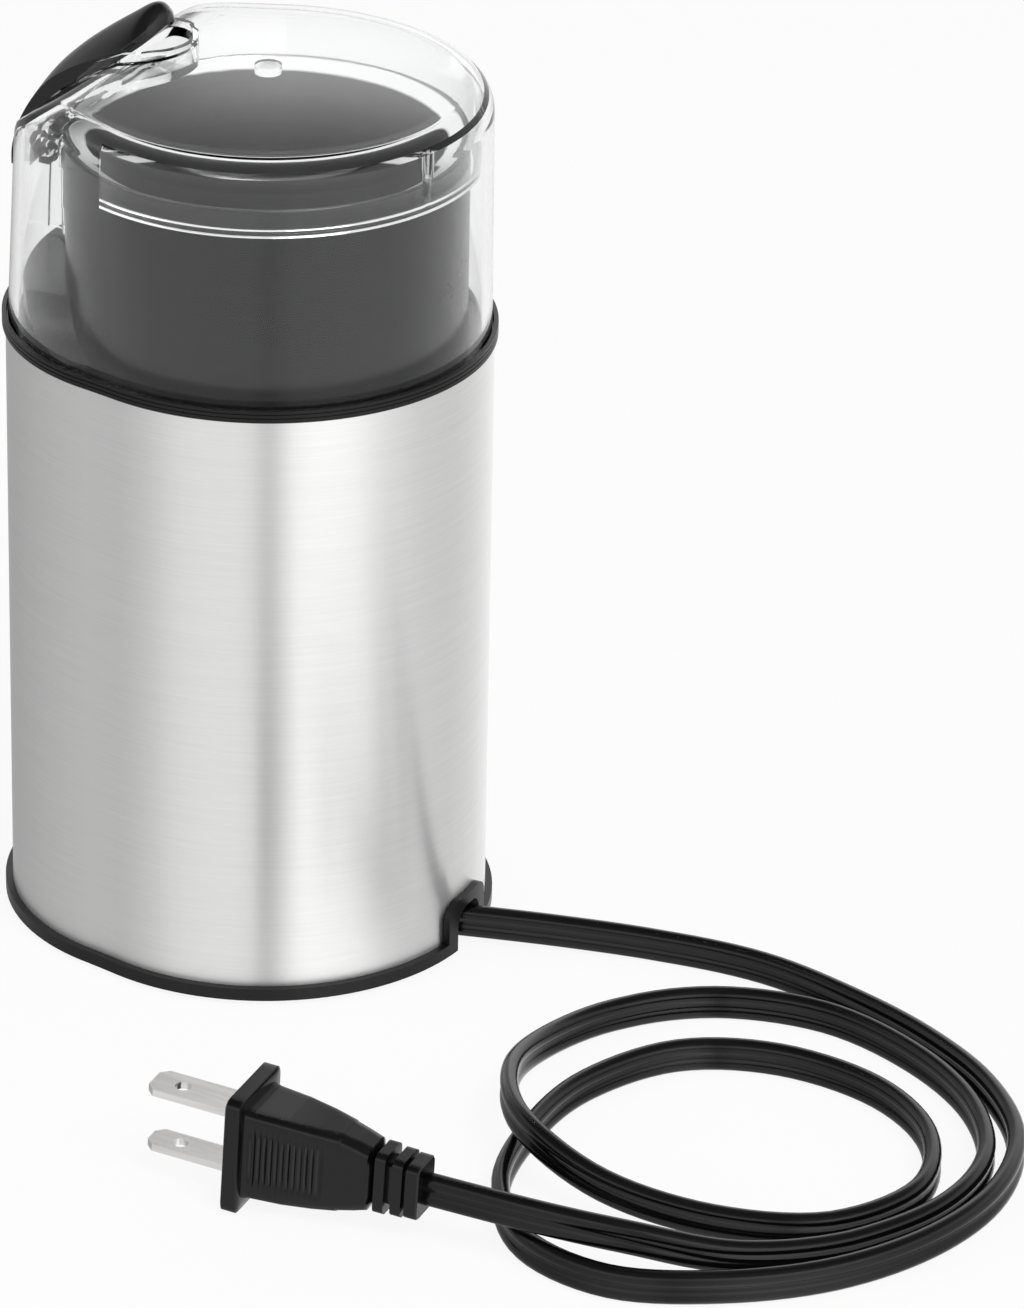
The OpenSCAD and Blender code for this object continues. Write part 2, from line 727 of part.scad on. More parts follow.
module grinding_bowl() {
    inner_r = bowl_r - bowl_t;
    color("gainsboro") difference() {
        union() {
            translate([cup_x, 0, bowl_z]) rotate_extrude($fn = fine)
                bowl_profile(bowl_r, lip_low - bowl_z, bowl_corner);
            translate([cup_x, 0, 0]) rotate_extrude($fn = fine) {
                polygon([[inner_r, lip_low], [lip_r, lip_high], [lip_r, lip_high - lip_h],
                    [inner_r, lip_low - lip_h]]);
                translate([lip_r, lip_high - lip_h / 2]) circle(lip_h / 2, $fn = 48);
            }
        }
        translate([cup_x, 0, bowl_z + bowl_t]) rotate_extrude($fn = fine)
            bowl_profile(inner_r, lip_high - bowl_z, bowl_corner - bowl_t);
        axis_rod(bowl_hole, bowl_z - over, bowl_z + bowl_t + over);
    }
}

module bowl_seal() {
    color("#202022") difference() {
        union() {
            axis_rod(bowl_hole + seal_flange, floor_top, bowl_z);
            axis_rod(bowl_hole - fit / 2, floor_top, bowl_z + seal_neck);
        }
        axis_rod(shaft_r + rest_gap, floor_top - over, bowl_z + seal_neck + over);
    }
}

// One blade wing along +X with a tapered plan and an angled end
module wing(angle) {
    bend_share = 0.55;
    bend = blade_reach * bend_share;
    end_width = blade_root + (blade_tip - blade_root) * bend_share;
    linear_extrude(blade_t) polygon([
        [0, -blade_root / 2], [bend + blend, -end_width / 2],
        [bend + blend, end_width / 2], [0, blade_root / 2]
    ]);
    translate([bend, 0, 0]) rotate([0, -angle, 0]) linear_extrude(blade_t) polygon([
        [0, -end_width / 2], [blade_reach - bend, -blade_tip / 4],
        [blade_reach - bend, blade_tip / 2], [0, end_width / 2]
    ]);
}

module blade() {
    color("whitesmoke") difference() {
        translate([cup_x, 0, blade_z]) union() {
            wing(wing_angle);
            rotate([0, 0, 180]) wing(-wing_angle / 2);
        }
        axis_rod(shaft_r, blade_z - over, blade_z + blade_t + over);
    }
}

module blade_hub() {
    color("silver") axis_tube(hub_r, shaft_r, bowl_z + seal_neck + rest_gap, blade_z);
}

module blade_nut() {
    nut_base = 1.6;
    color("silver") difference() {
        union() {
            axis_rod(nut_r + over, blade_z + blade_t, blade_z + blade_t + nut_base);
            intersection() {
                translate([cup_x, 0, blade_z + blade_t + nut_base / 2]) sphere(nut_r, $fn = fine);
                axis_rod(nut_r, blade_z + blade_t, blade_z + blade_t + 2 * nut_r);
            }
        }
        axis_rod(shaft_r, blade_z, blade_z + blade_t + nut_base + over);
    }
}

module motor_shaft() {
    color("silver") axis_rod(shaft_r, shaft_end, blade_z + blade_t + over);
}

module rotor_core() {
    slot_w = rotor_r / 10;
    slot_depth = rotor_r / 3;
    color("dimgray") difference() {
        axis_tube(rotor_r, shaft_r, stack_z, stack_top);
        for (k = [0:bars - 1]) translate([cup_x, 0, 0]) rotate([0, 0, k * 360 / bars])
            block([rotor_r - slot_depth, -slot_w / 2, stack_z - over],
                [rotor_r + over, slot_w / 2, stack_top + over]);
    }
}

module rotor_windings() {
    turns_sink = 1.5;
    turns_r = rotor_r - turns_sink;
    color("#a4502a") {
        axis_tube(turns_r, 2 * shaft_r, stack_top, stack_top + turn_h);
        axis_tube(turns_r, 2 * shaft_r, stack_z - turn_h, stack_z);
        for (z = [stack_top, stack_z - turn_h + turn_h / 2])
            axis_tube(2 * shaft_r + blend, shaft_r, z, z + turn_h / 2);
    }
}

module commutator() {
    slit_w = comm_r / 20;
    band_h = 1;
    color("#b87333") difference() {
        union() {
            axis_tube(comm_r, shaft_r, comm_z, comm_z + comm_h);
            axis_tube(comm_r + band_h / 2, shaft_r, comm_z + comm_h - band_h, comm_z + comm_h);
        }
        for (k = [0:bars - 1]) translate([cup_x, 0, 0]) rotate([0, 0, k * 360 / bars])
            block([comm_r - slit_w * 2, -slit_w / 2, comm_z - over],
                [comm_r + over, slit_w / 2, comm_z + comm_h + over]);
    }
}

module cooling_fan() {
    disc_t = fan_h / 5;
    blade_w = fan_r / 16;
    color("#3a3c3f") {
        axis_tube(fan_r, shaft_r, fan_z, fan_z + disc_t);
        axis_tube(2 * shaft_r, shaft_r, fan_z, fan_z + fan_h);
        for (k = [0:fan_blades - 1])
            translate([cup_x, 0, fan_z + disc_t - blend]) rotate([0, 0, k * 360 / fan_blades])
                translate([shaft_r * 2.4, -blade_w / 2, 0])
                    cube([fan_r - shaft_r * 2.6, blade_w, fan_h - disc_t]);
    }
}

module stator_core() {
    bore = rotor_r + air_gap;
    color("slategray") difference() {
        intersection() {
            axis_rod(stator_r, stack_z, stack_top);
            block([cup_x - stator_flat / 2, -stator_r, stack_z],
                [cup_x + stator_flat / 2, stator_r, stack_top]);
        }
        axis_rod(bore, stack_z - over, stack_top + over);
        intersection() {
            axis_rod(window_r, stack_z - over, stack_top + over);
            block([cup_x - window_r, -window_w / 2, stack_z - over],
                [cup_x + window_r, window_w / 2, stack_top + over]);
        }
        for (side = [-1, 1]) translate([cup_x, side * bolt_gap, stack_z - over])
            cylinder(r = bolt_r + fit, h = stack_h + 2 * over, $fn = fine);
    }
}

module field_coils() {
    inner = rotor_r + air_gap + 2 * coil_gap;
    color("#b5651d") difference() {
        axis_tube(window_r - coil_gap, inner, stack_z - coil_over, stack_top + coil_over);
        block([cup_x - window_r, -coil_gap, stack_z - coil_over - over],
            [cup_x + window_r, coil_gap, stack_top + coil_over + over]);
        for (side = [-1, 1])
            block([cup_x - window_r, min(side * (window_w / 2 - coil_gap), side * window_r),
                    stack_z - coil_gap],
                [cup_x + window_r, max(side * (window_w / 2 - coil_gap), side * window_r),
                    stack_top + coil_gap]);
    }
}

// A motor bracket: a bar across the shaft with two legs and a bearing boss
module bracket(plate_z, boss_z, boss_high, leg_z, leg_h) {
    difference() {
        union() {
            block([cup_x - bracket_half, -bolt_gap, plate_z],
                [cup_x + bracket_half, bolt_gap, plate_z + bracket_t]);
            axis_rod(bearing_r + bearing_wall, boss_z, boss_high);
            for (side = [-1, 1]) {
                translate([cup_x, side * bolt_gap, plate_z])
                    cylinder(r = bracket_half, h = bracket_t, $fn = fine);
                translate([cup_x, side * bolt_gap, leg_z])
                    cylinder(r = leg_r, h = leg_h, $fn = fine);
            }
            children();
        }
        for (side = [-1, 1]) translate([cup_x, side * bolt_gap, min(leg_z, plate_z) - over])
            cylinder(r = bolt_r + fit, h = leg_h + bracket_t + 2 * over, $fn = fine);
    }
}

module upper_bracket() {
    boss_high = bracket_up_top + bearing_h + bearing_floor;
    color("darkgray") difference() {
        bracket(bracket_up_z, bracket_up_z, boss_high, stack_top, leg_up + blend);
        axis_rod(bearing_r, bracket_up_top, boss_high + over);
        axis_rod(shaft_r + shaft_clear, bracket_up_z - over, bracket_up_top + over);
    }
}

module lower_bracket() {
    color("darkgray") difference() {
        bracket(bracket_low_z, bearing_low_z - bearing_floor, bracket_low_top,
            bracket_low_top - blend, leg_low + blend)
            for (side = [-1, 1]) block(
                [cup_x + side * (comm_r + holder_len / 2 + comm_gap) - holder_len / 2,
                    -brush_w / 2 - holder_wall, bracket_low_z],
                [cup_x + side * (comm_r + holder_len / 2 + comm_gap) + holder_len / 2,
                    brush_w / 2 + holder_wall, comm_z + comm_gap]);
        axis_rod(bearing_r, bearing_low_z, bracket_low_top + over);
        axis_rod(shaft_r + shaft_clear, bearing_low_z - 2 * bearing_floor, bearing_low_z + over);
        axis_rod(comm_r + comm_gap, bracket_low_top, comm_z + comm_h);
    }
}

module motor_dampers() {
    color("#2a2a2a") for (side = [-1, 1]) translate([cup_x, side * bolt_gap, bracket_up_top])
        difference() {
            cylinder(r = damper_r, h = damper_h, $fn = fine);
            translate([0, 0, -over])
                cylinder(r = bolt_r + run_fit, h = damper_h / 2 + over, $fn = fine);
        }
}

module motor_screws() {
    head_h = 2;
    color("lightgray") for (side = [-1, 1])
        translate([cup_x, side * bolt_gap, bracket_low_z - head_h]) {
            cylinder(r = leg_r - fit, h = head_h, $fn = fine);
            cylinder(r = bolt_r, h = bracket_up_top + damper_h / 4 - bracket_low_z + head_h, $fn = fine);
        }
}

module upper_bearing() {
    color("#c8c8cc") axis_tube(bearing_r, shaft_r + run_fit, bracket_up_top,
        bracket_up_top + bearing_h);
}

module lower_bearing() {
    color("#c8c8cc") axis_tube(bearing_r, shaft_r + run_fit, bearing_low_z,
        bearing_low_z + bearing_h);
}

// Place of a brush along X and the height of its axis
brush_z = comm_z + comm_gap + holder_wall + brush_w / 2;
brush_start = comm_r + rest_gap;

// Repeats its children for the two brushes, which face the commutator
module both_brushes() {
    for (turn = [0, 180]) translate([cup_x, 0, brush_z]) rotate([0, 0, turn]) children();
}

module brush_holders() {
    half = brush_w / 2 + holder_wall;
    start = comm_r + comm_gap;
    color("#8c6a32") both_brushes() difference() {
        block([start, -half, -half], [start + holder_len, half, half]);
        block([start - over, -brush_w / 2, -brush_w / 2],
            [start + holder_len - holder_wall, brush_w / 2, brush_w / 2]);
    }
}

module carbon_brushes() {
    color("#303030") both_brushes()
        block([brush_start, -brush_w / 2 + run_fit, -brush_w / 2 + run_fit],
            [brush_start + brush_len, brush_w / 2 - run_fit, brush_w / 2 - run_fit]);
}

module brush_springs() {
    color("silver") both_brushes() translate([brush_start + brush_len, 0, 0]) rotate([0, 90, 0])
        difference() {
            length = comm_r + comm_gap + holder_len - holder_wall - brush_start - brush_len;
            cylinder(r = brush_w * 0.4, h = length, $fn = fine);
            translate([0, 0, -over])
                cylinder(r = brush_w * 0.25, h = length + 2 * over, $fn = fine);
        }
}

module switch_case() {
    color("#e8e4da") difference() {
        block([rod_x + plunger_r + rest_gap - switch_w, -switch_len / 2, case_z],
            [rod_x + plunger_r + rest_gap, switch_len / 2, case_top]);
        translate([rod_x, 0, spring_z])
            cylinder(r = plunger_r + run_fit, h = switch_h + over, $fn = fine);
        block([rod_x, -plunger_r / 2, spring_z + spring_h],
            [rod_x + switch_w, plunger_r / 2, case_top - wall]);
    }
}

module switch_plunger() {
    color("#2b2b2d") translate([rod_x, 0, plunger_z])
        cylinder(r = plunger_r, h = plunger_top - plunger_z, $fn = fine);
}

module plunger_spring() {
    color("silver") translate([rod_x, 0, spring_z]) difference() {
        cylinder(r = plunger_r - fit, h = spring_h, $fn = fine);
        translate([0, 0, -over]) cylinder(r = plunger_r / 2, h = spring_h + 2 * over, $fn = fine);
    }
}

// Half profile of one end of the lid, shrunk by inset, for a wall that leans in towards its top
module lid_profile(r, lean, inset) {
    foot = r - lid_inset - inset;
    corner = shoulder_r - inset;
    top = foot - lean - corner;
    turns = [0:6];
    polygon(concat(
        [[0, deck_top - (inset > 0 ? over : 0)], [foot, deck_top - (inset > 0 ? over : 0)]],
        [for (k = turns) [foot - lean - corner + corner * cos(k * 15), shoulder_z + corner * sin(k * 15)]],
        [for (share = [0.75, 0.5, 0.25, 0])
            [top * share, shoulder_z + corner + crown_rise * (1 - share * share)]]
    ));
}

// Closed form of the lid: its two round ends joined by a hull
module lid_form(inset) {
    hull() {
        translate([cup_x, 0, 0]) rotate_extrude($fn = 48) lid_profile(cup_end_r, lean_cup, inset);
        translate([lever_x, 0, 0]) rotate_extrude($fn = 48)
            lid_profile(lever_end_r, lean_lever, inset);
    }
}

// Places of points given in shares of the lever's reach and rise
function lever_points(shares) =
    [for (s = shares) [pin_x + s[0] * lever_reach, pin_z + s[1] * lever_rise]];

// Space under the lid's slope, which falls from the crown to the lever's pin, moved in by d
module lid_slope(d) {
    line = [for (p = lever_points(lid_slope_shares)) [p[0] + 0.8 * d, p[1] - 0.7 * d]];
    last = line[len(line) - 1];
    far = 2 * cup_end_r;
    along_y(far) polygon(concat([[-far, deck_top - 2 * over], [-far, line[0][1]]], line,
        [[last[0] + lever_reach / 2, lid_top + over], [far, lid_top + over], [far, deck_top - 2 * over]]));
}

// Skirt inside the lid that laps over the tower, open towards the lever
module lid_cuff() {
    cuff_in = tower_r + cuff_gap;
    reach = 2 * cup_end_r;
    difference() {
        axis_tube(cuff_in + cuff_t, cuff_in, rim_z - cuff_lap, lid_top);
        translate([cup_x, 0, rim_z - cuff_lap - over]) linear_extrude(lid_top) polygon([
            [0, 0], [reach * cos(cuff_angle), reach * sin(cuff_angle)], [-2 * reach, reach],
            [-2 * reach, -reach], [reach * cos(cuff_angle), -reach * sin(cuff_angle)]
        ]);
    }
}

// Plan of the lever's well grown by d: straight sides and a round end at the lever's tip
module well_plan(half, end, back) {
    translate([end - half, 0]) circle(half, $fn = fine);
    translate([back, -half]) square([end - half - back, 2 * half]);
}

// Space of the lever's well, grown by d on every side
module lever_well(d) {
    back = pin_x - lever_reach;
    tail_z = pin_z + tail_foot_share * lever_rise - d;
    floor_line = lever_points(well_floor_shares);
    last = floor_line[len(floor_line) - 1];
    tail_x = pin_x + barrel_r + rest_gap + d;
    top = lid_top + lever_rise;
    wide_z = pin_z + tail_well_share * lever_rise - d;
    intersection() {
        translate([0, 0, wide_z]) linear_extrude(top - wide_z) well_plan(well_half + d, well_end + d, back);
        along_y(well_half + 2 * d + over) polygon(concat(
            [[back, top], [well_end + 2 * d, top],
             [well_end + 2 * d, pin_z + lever_rise * well_floor_shares[0][1] + 2 * over - d]],
            [for (p = floor_line) [p[0] + d, p[1] - d]],
            [[back, last[1] - d]]
        ));
    }
    along_y(tail_well_half + d) polygon([
        [back, tail_z], [tail_x, tail_z], [tail_x, pin_z + barrel_r], [tail_x, top], [back, top]
    ]);
}

// Raised rim round the lever's tip, above the crown of the lid
module lever_rim() {
    edge = lever_points(rim_edge_shares);
    sink = well_wall + over;
    intersection() {
        translate([0, 0, shoulder_z]) linear_extrude(lever_rise)
            well_plan(well_half + well_wall, well_end + well_wall, edge[4][0]);
        along_y(well_half + 2 * well_wall) polygon(concat(edge, [
            [edge[4][0], edge[4][1] - sink], [edge[3][0], edge[3][1] - sink],
            [edge[0][0], lid_top - crown_rise]
        ]));
    }
}

module lid_shell() {
    color([0.85, 0.88, 0.9, 0.35]) difference() {
        union() {
            difference() {
                intersection() {
                    lid_form(0);
                    lid_slope(0);
                }
                difference() {
                    intersection() {
                        lid_form(lid_wall);
                        lid_slope(lid_wall);
                    }
                    lid_cuff();
                    lever_well(well_wall);
                    translate([rod_x, 0, guide_z])
                        cylinder(r = rod_r + run_fit + guide_wall, h = guide_top - guide_z, $fn = fine);
                    block([lever_x - lever_end_r, -guide_wall / 2, guide_z],
                        [rod_x - rod_r - guide_wall / 2, guide_wall / 2, guide_top]);
                }
            }
            lever_rim();
        }
        lever_well(0);
        block([rod_x - finger_t / 2 - rest_gap - fit, -finger_w / 2 - rest_gap, guide_top + blend],
            [rod_x + finger_t / 2 + rod_gap / 2, finger_w / 2 + rest_gap,
                pin_z + lever_rise * slot_top_share]);
        translate([rod_x, 0, guide_z - over])
            cylinder(r = rod_r + run_fit, h = guide_top - guide_z + 2 * over, $fn = fine);
        translate([pin_x, tail_well_half + well_wall + over, pin_z]) rotate([90, 0, 0])
            cylinder(r = pin_r + thread_fit, h = 2 * (tail_well_half + well_wall + over), $fn = fine);
    }
}

module lever_pin() {
    half = tail_well_half + well_wall - fit / 2;
    color("silver") translate([pin_x, half, pin_z]) rotate([90, 0, 0])
        cylinder(r = pin_r, h = 2 * half, $fn = fine);
}

// One section of the lever: its lower edges and the arc of its crown, seven points in all
function lever_ring(section) =
    let (edge = lever_points([section[1], section[2], section[3]]), half = lever_half * section[0])
    concat([[edge[0][0], -half, edge[0][1]]],
        [for (y = [-1, -0.55, 0, 0.55, 1]) let (rise = 1 - y * y)
            [edge[1][0] + (edge[2][0] - edge[1][0]) * rise, y * half,
             edge[1][1] + (edge[2][1] - edge[1][1]) * rise]],
        [[edge[0][0], half, edge[0][1]]]);

// The lever's crowned plate, as one skin over its sections
module lever_plate() {
    rings = [for (section = lever_section_shares) lever_ring(section)];
    n = len(rings[0]);
    last = len(rings) - 1;
    skin = [for (k = [0:last - 1]) for (j = [0:n - 1]) each [
        [k * n + j, (k + 1) * n + j, (k + 1) * n + (j + 1) % n],
        [k * n + j, (k + 1) * n + (j + 1) % n, k * n + (j + 1) % n]]];
    ends = [for (j = [1:n - 2]) each [[0, j, j + 1], [last * n, last * n + j + 1, last * n + j]]];
    polyhedron([for (ring = rings) each ring], concat(skin, ends));
}

module push_lever() {
    color("#151516") difference() {
        union() {
            lever_plate();
            along_y(tail_half) translate([pin_x, pin_z]) circle(barrel_r, $fn = fine);
            block([rod_x - finger_t / 2, -finger_w / 2, rod_top + rest_gap],
                [rod_x + finger_t / 2, finger_w / 2, pin_z + lever_rise * finger_top_share]);
        }
        translate([pin_x, lever_half, pin_z]) rotate([90, 0, 0])
            cylinder(r = pin_r + run_fit, h = 2 * lever_half, $fn = fine);
    }
}

module push_rod() {
    color("#2b2b2d") translate([rod_x, 0, rod_z]) {
        cylinder(r = rod_r, h = rod_top - rod_z, $fn = fine);
        translate([0, 0, rod_top - rod_head_h - rod_z])
            cylinder(r = rod_head_r, h = rod_head_h, $fn = fine);
    }
}

// Upright section of the flat cord, as half round ends joined by flat sides
function cord_section() = [for (end = [1, -1]) for (k = [0:5])
    [end * cord_round * cos(k * 36), end * ((cord_w - cord_t) / 2 + cord_round * sin(k * 36))]];

module cord_bush() {
    neck_half = bush_half - wall / 2;
    color("#1a1a1b") {
        along_x(bush_back, outlet_face, bush_z)
            arch(bush_half, slot_top - fit - bush_z, slot_half - wall / 2 - fit);
        block([bush_back - 2 * wall - fit, -bush_half - wall, base_top + fit],
            [bush_back - wall - fit, bush_half + wall, slot_top]);
        block([bush_back - wall - fit - blend, -neck_half, base_top + fit],
            [bush_back + blend, neck_half, slot_top - wall]);
    }
}

module cord_clamp() {
    color("#2c2c2e") difference() {
        block([clamp_x, -clamp_half - clamp_post_r, clamp_z],
            [clamp_x + clamp_len, clamp_half + clamp_post_r, clamp_z + clamp_t]);
        for (side = [-1, 1]) translate([clamp_x + clamp_len / 2, side * clamp_half, clamp_z - over])
            cylinder(r = screw_r * 2 / 3 + thread_fit, h = clamp_t + 2 * over, $fn = fine);
    }
}

module clamp_screws() {
    color("lightgray") for (side = [-1, 1])
        translate([clamp_x + clamp_len / 2, side * clamp_half, base_top + over]) {
            cylinder(r = screw_r * 2 / 3, h = clamp_z + clamp_t - base_top, $fn = fine);
            translate([0, 0, clamp_z + clamp_t - base_top - over])
                cylinder(r = screw_r * 4 / 3, h = screw_r, $fn = fine);
        }
}

// A round lead through its points
module lead(points) {
    for (k = [0:len(points) - 2]) {
        step = points[k + 1] - points[k];
        run = norm(step);
        translate(points[k]) rotate([0, acos(step[2] / run), atan2(step[1], step[0])])
            cylinder(r = lead_r, h = run, $fn = 24);
        translate(points[k + 1]) sphere(lead_r * 1.2, $fn = 24);
    }
}

module inner_leads() {
    start = clamp_x - wall;
    low = base_top + cord_t;
    back = rod_x - lead_r;
    holder_end = comm_r + comm_gap + holder_len;
    gap = cord_w / 2;
    lift = brush_z + brush_w;
    case_end = case_z - 1.5 * lead_r;
    aside = holder_end + 1.4 * lead_r;
    color("#c9b58a") {
        intersection() {
            block([start, -cord_round, cord_rise - cord_w / 2],
                [bush_back - 2 * wall - 2 * fit, cord_round, cord_rise + cord_w / 2]);
            block([start, -cord_w, base_top + fit], [bush_back, cord_w, clamp_z]);
        }
        lead([[start + lead_r, cord_round, low], [start - gap, cord_round, low],
            [back, gap, low], [back, gap, case_end]]);
        lead([[back, -gap, case_end], [back, -gap, lift],
            [cup_x - aside, -lead_r / 2, lift],
            [cup_x - aside, -lead_r / 2, brush_z]]);
        lead([[start + lead_r, -cord_round, low], [cup_x + aside, -cord_round, low + gap],
            [cup_x + aside, -cord_round, brush_z]]);
    }
}

function lifted(p) = [p[0], p[1], max(p[2], cord_w / 2)];
function between(a, b, c, d, t) = (2 * b + (c - a) * t + (2 * a - 5 * b + 4 * c - d) * t * t
    + (3 * b - a - 3 * c + d) * t * t * t) / 2;
function route_point(k) = cord_route[min(max(k, 0), len(cord_route) - 1)];
function unit(v) = v / norm(v);
// Centres of the cord's rings on one smooth curve through the route's points
cord_path = concat(
    [for (k = [0:len(cord_route) - 2]) for (s = [0:cord_steps - 1])
        lifted(between(route_point(k - 1), route_point(k), route_point(k + 1),
            route_point(k + 2), s / cord_steps))],
    [plug_end]);
cord_last = len(cord_path) - 1;
function cord_way(k) = k == 0 ? exit_way : k == cord_last ? plug_way
    : unit(cord_path[k + 1] - cord_path[k - 1]);
function cord_side(k) = unit(cross([0, 0, 1], cord_way(k)));
// Least gap of the cord to itself, over rings that lie more than seven steps apart
cord_gaps = [for (i = [0:cord_last]) for (j = [i + 8:1:cord_last])
    norm([max(0, norm([cord_path[i][0] - cord_path[j][0], cord_path[i][1] - cord_path[j][1]]) - cord_t),
        max(0, abs(cord_path[i][2] - cord_path[j][2]) - cord_w)])];
echo(cord_least_gap = min(cord_gaps));

module power_cord() {
    section = cord_section();
    n = len(section);
    points = [for (k = [0:cord_last]) for (p = section)
        cord_path[k] + p[0] * cord_side(k) + p[1] * cross(cord_way(k), cord_side(k))];
    skin = [for (k = [0:cord_last - 1]) for (j = [0:n - 1]) each [
        [k * n + j, (k + 1) * n + j, (k + 1) * n + (j + 1) % n],
        [k * n + j, (k + 1) * n + (j + 1) % n, k * n + (j + 1) % n]]];
    ends = [[for (j = [0:n - 1]) j], [for (j = [0:n - 1]) cord_last * n + n - 1 - j]];
    color("#1a1a1b") polyhedron(points, concat(skin, ends));
}

// Places the plug, whose axis runs from its blades to the cord
module place_plug() {
    translate(plug_end) rotate([0, plug_tilt, plug_turn]) translate([-plug_len, 0, 0]) children();
}

// Slab across the plug's axis with rounded edges
module plug_slab(x, t, w, h, corner) {
    translate([x, 0, 0]) rotate([90, 0, 90]) linear_extrude(t) {
        square([w - 2 * corner, h], center = true);
        square([w, h - 2 * corner], center = true);
        for (y = [-1, 1]) for (z = [-1, 1])
            translate([y * (w / 2 - corner), z * (h / 2 - corner)]) circle(corner, $fn = 32);
    }
}

module plug_body() {
    slices = 3;
    pitch = relief_len / slices;
    corner = relief_w / 4;
    end_w = relief_w + corner / 2;
    end_h = grip_h - corner;
    step = corner * 0.4;
    color("#1a1a1b") place_plug() {
        plug_slab(flange_x, flange_t, flange_w, flange_h, corner);
        hull() {
            plug_slab(grip_x - blend, flange_t, grip_w, grip_h, corner / 2);
            plug_slab(neck_x - flange_t, flange_t, end_w, end_h, corner / 2);
        }
        hull() {
            plug_slab(neck_x - blend, blend, end_w, end_h - corner, corner);
            plug_slab(relief_x - blend, blend, relief_w, relief_h + 2 * step, corner);
        }
        plug_slab(relief_x - blend, relief_len + blend, cord_t + corner, cord_w + corner, corner / 2);
        for (k = [0:slices - 1])
            plug_slab(relief_x + k * pitch + pitch * (k == slices - 1 ? 0.2 : 0.4),
                pitch * (k == slices - 1 ? 0.8 : 0.6), relief_w, relief_h + step * (slices - 1 - k),
                corner);
    }
}

// One flat blade with a chamfered tip and a round hole
module prong(w, z) {
    chamfer = prong_w / 4;
    translate([0, 0, z - prong_t / 2]) linear_extrude(prong_t) difference() {
        polygon([
            [flange_x, -w / 2], [flange_x, w / 2], [chamfer - hole_gap, w / 2],
            [-hole_gap, w / 2 - chamfer], [-hole_gap, chamfer - w / 2], [chamfer - hole_gap, -w / 2]
        ]);
        circle(hole_r, $fn = fine);
    }
}

module plug_blades() {
    color("#c9c4b8") place_plug() {
        prong(prong_w + prong_more, prong_gap / 2);
        prong(prong_w, -prong_gap / 2);
    }
}

steel_shell();
base_cover();
rubber_feet();
base_screws();
top_ring();
upper_housing();
grinding_bowl();
bowl_seal();
blade();
blade_hub();
blade_nut();
motor_shaft();
rotor_core();
rotor_windings();
commutator();
cooling_fan();
stator_core();
field_coils();
upper_bracket();
lower_bracket();
motor_dampers();
motor_screws();
upper_bearing();
lower_bearing();
brush_holders();
carbon_brushes();
brush_springs();
switch_case();
switch_plunger();
plunger_spring();
lid_shell();
lever_pin();
push_lever();
push_rod();
cord_bush();
cord_clamp();
clamp_screws();
inner_leads();
power_cord();
plug_body();
plug_blades();
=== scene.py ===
import json
import math
import bpy
import numpy as np
from mathutils import Matrix


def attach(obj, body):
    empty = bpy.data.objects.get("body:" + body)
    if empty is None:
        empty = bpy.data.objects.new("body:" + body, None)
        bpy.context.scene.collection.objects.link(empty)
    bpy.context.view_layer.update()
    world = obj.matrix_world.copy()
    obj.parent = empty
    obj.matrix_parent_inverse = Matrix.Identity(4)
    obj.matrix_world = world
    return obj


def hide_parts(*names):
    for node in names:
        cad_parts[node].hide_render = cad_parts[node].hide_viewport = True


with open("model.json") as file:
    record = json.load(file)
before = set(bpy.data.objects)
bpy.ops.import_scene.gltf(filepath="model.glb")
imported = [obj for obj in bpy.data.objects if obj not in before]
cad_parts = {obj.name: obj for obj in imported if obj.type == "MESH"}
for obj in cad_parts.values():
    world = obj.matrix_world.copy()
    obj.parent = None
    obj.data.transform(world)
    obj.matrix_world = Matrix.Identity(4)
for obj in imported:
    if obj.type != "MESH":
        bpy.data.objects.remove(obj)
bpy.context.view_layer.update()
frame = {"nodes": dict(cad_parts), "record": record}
mm = 0.001
print("frame loaded:", len(frame["nodes"]), "nodes")


# Camera: its place, the way it looks and its lens, at the photograph's viewing angle
cameraSettings = {
    "place": (0.615593, -1.193123, 0.722527),  # metres
    "turn": 25.0,  # degrees about the vertical
    "drop": 26.42,  # degrees below the horizon
    "roll": 1.142,  # degrees
    "lens": 202.15,  # mm
    "sensor": 36.0,  # mm across
    "clip": (0.05, 40.0),  # metres
}


# Place and turn of a camera or lamp that looks along ahead
def aimed(place, right, up, ahead):
    rows = np.column_stack([right, up, -ahead, place])
    return Matrix(rows.tolist() + [[0, 0, 0, 1]])


# The way it looks is turned about the vertical and dropped, and the picture is then rolled about that way
def addCamera(settings):
    turn, drop, roll = (math.radians(settings[key]) for key in ("turn", "drop", "roll"))
    level = np.array([math.cos(turn), math.sin(turn), 0.0])
    rise = np.array([-math.sin(turn) * math.sin(drop), math.cos(turn) * math.sin(drop), math.cos(drop)])
    ahead = np.array([-math.sin(turn) * math.cos(drop), math.cos(turn) * math.cos(drop), -math.sin(drop)])
    right = math.cos(roll) * level + math.sin(roll) * rise
    up = math.cos(roll) * rise - math.sin(roll) * level
    data = bpy.data.cameras.new("camera")
    data.lens = settings["lens"]
    data.sensor_width = settings["sensor"]
    data.clip_start, data.clip_end = settings["clip"]
    camera = bpy.data.objects.new("camera", data)
    bpy.context.scene.collection.objects.link(camera)
    camera.matrix_world = aimed(settings["place"], right, up, ahead)
    bpy.context.scene.camera = camera
    return ahead, right


lookWay, rightWay = addCamera(cameraSettings)
print("camera placed")


# The same value in red, green and blue
def even(value):
    return (value, value, value, 1)


# Links a socket to a node's input, or writes a plain value there
def feed(tree, slot, value):
    if isinstance(value, Wire):
        tree.links.new(value.socket, slot)
    else:
        slot.default_value = value


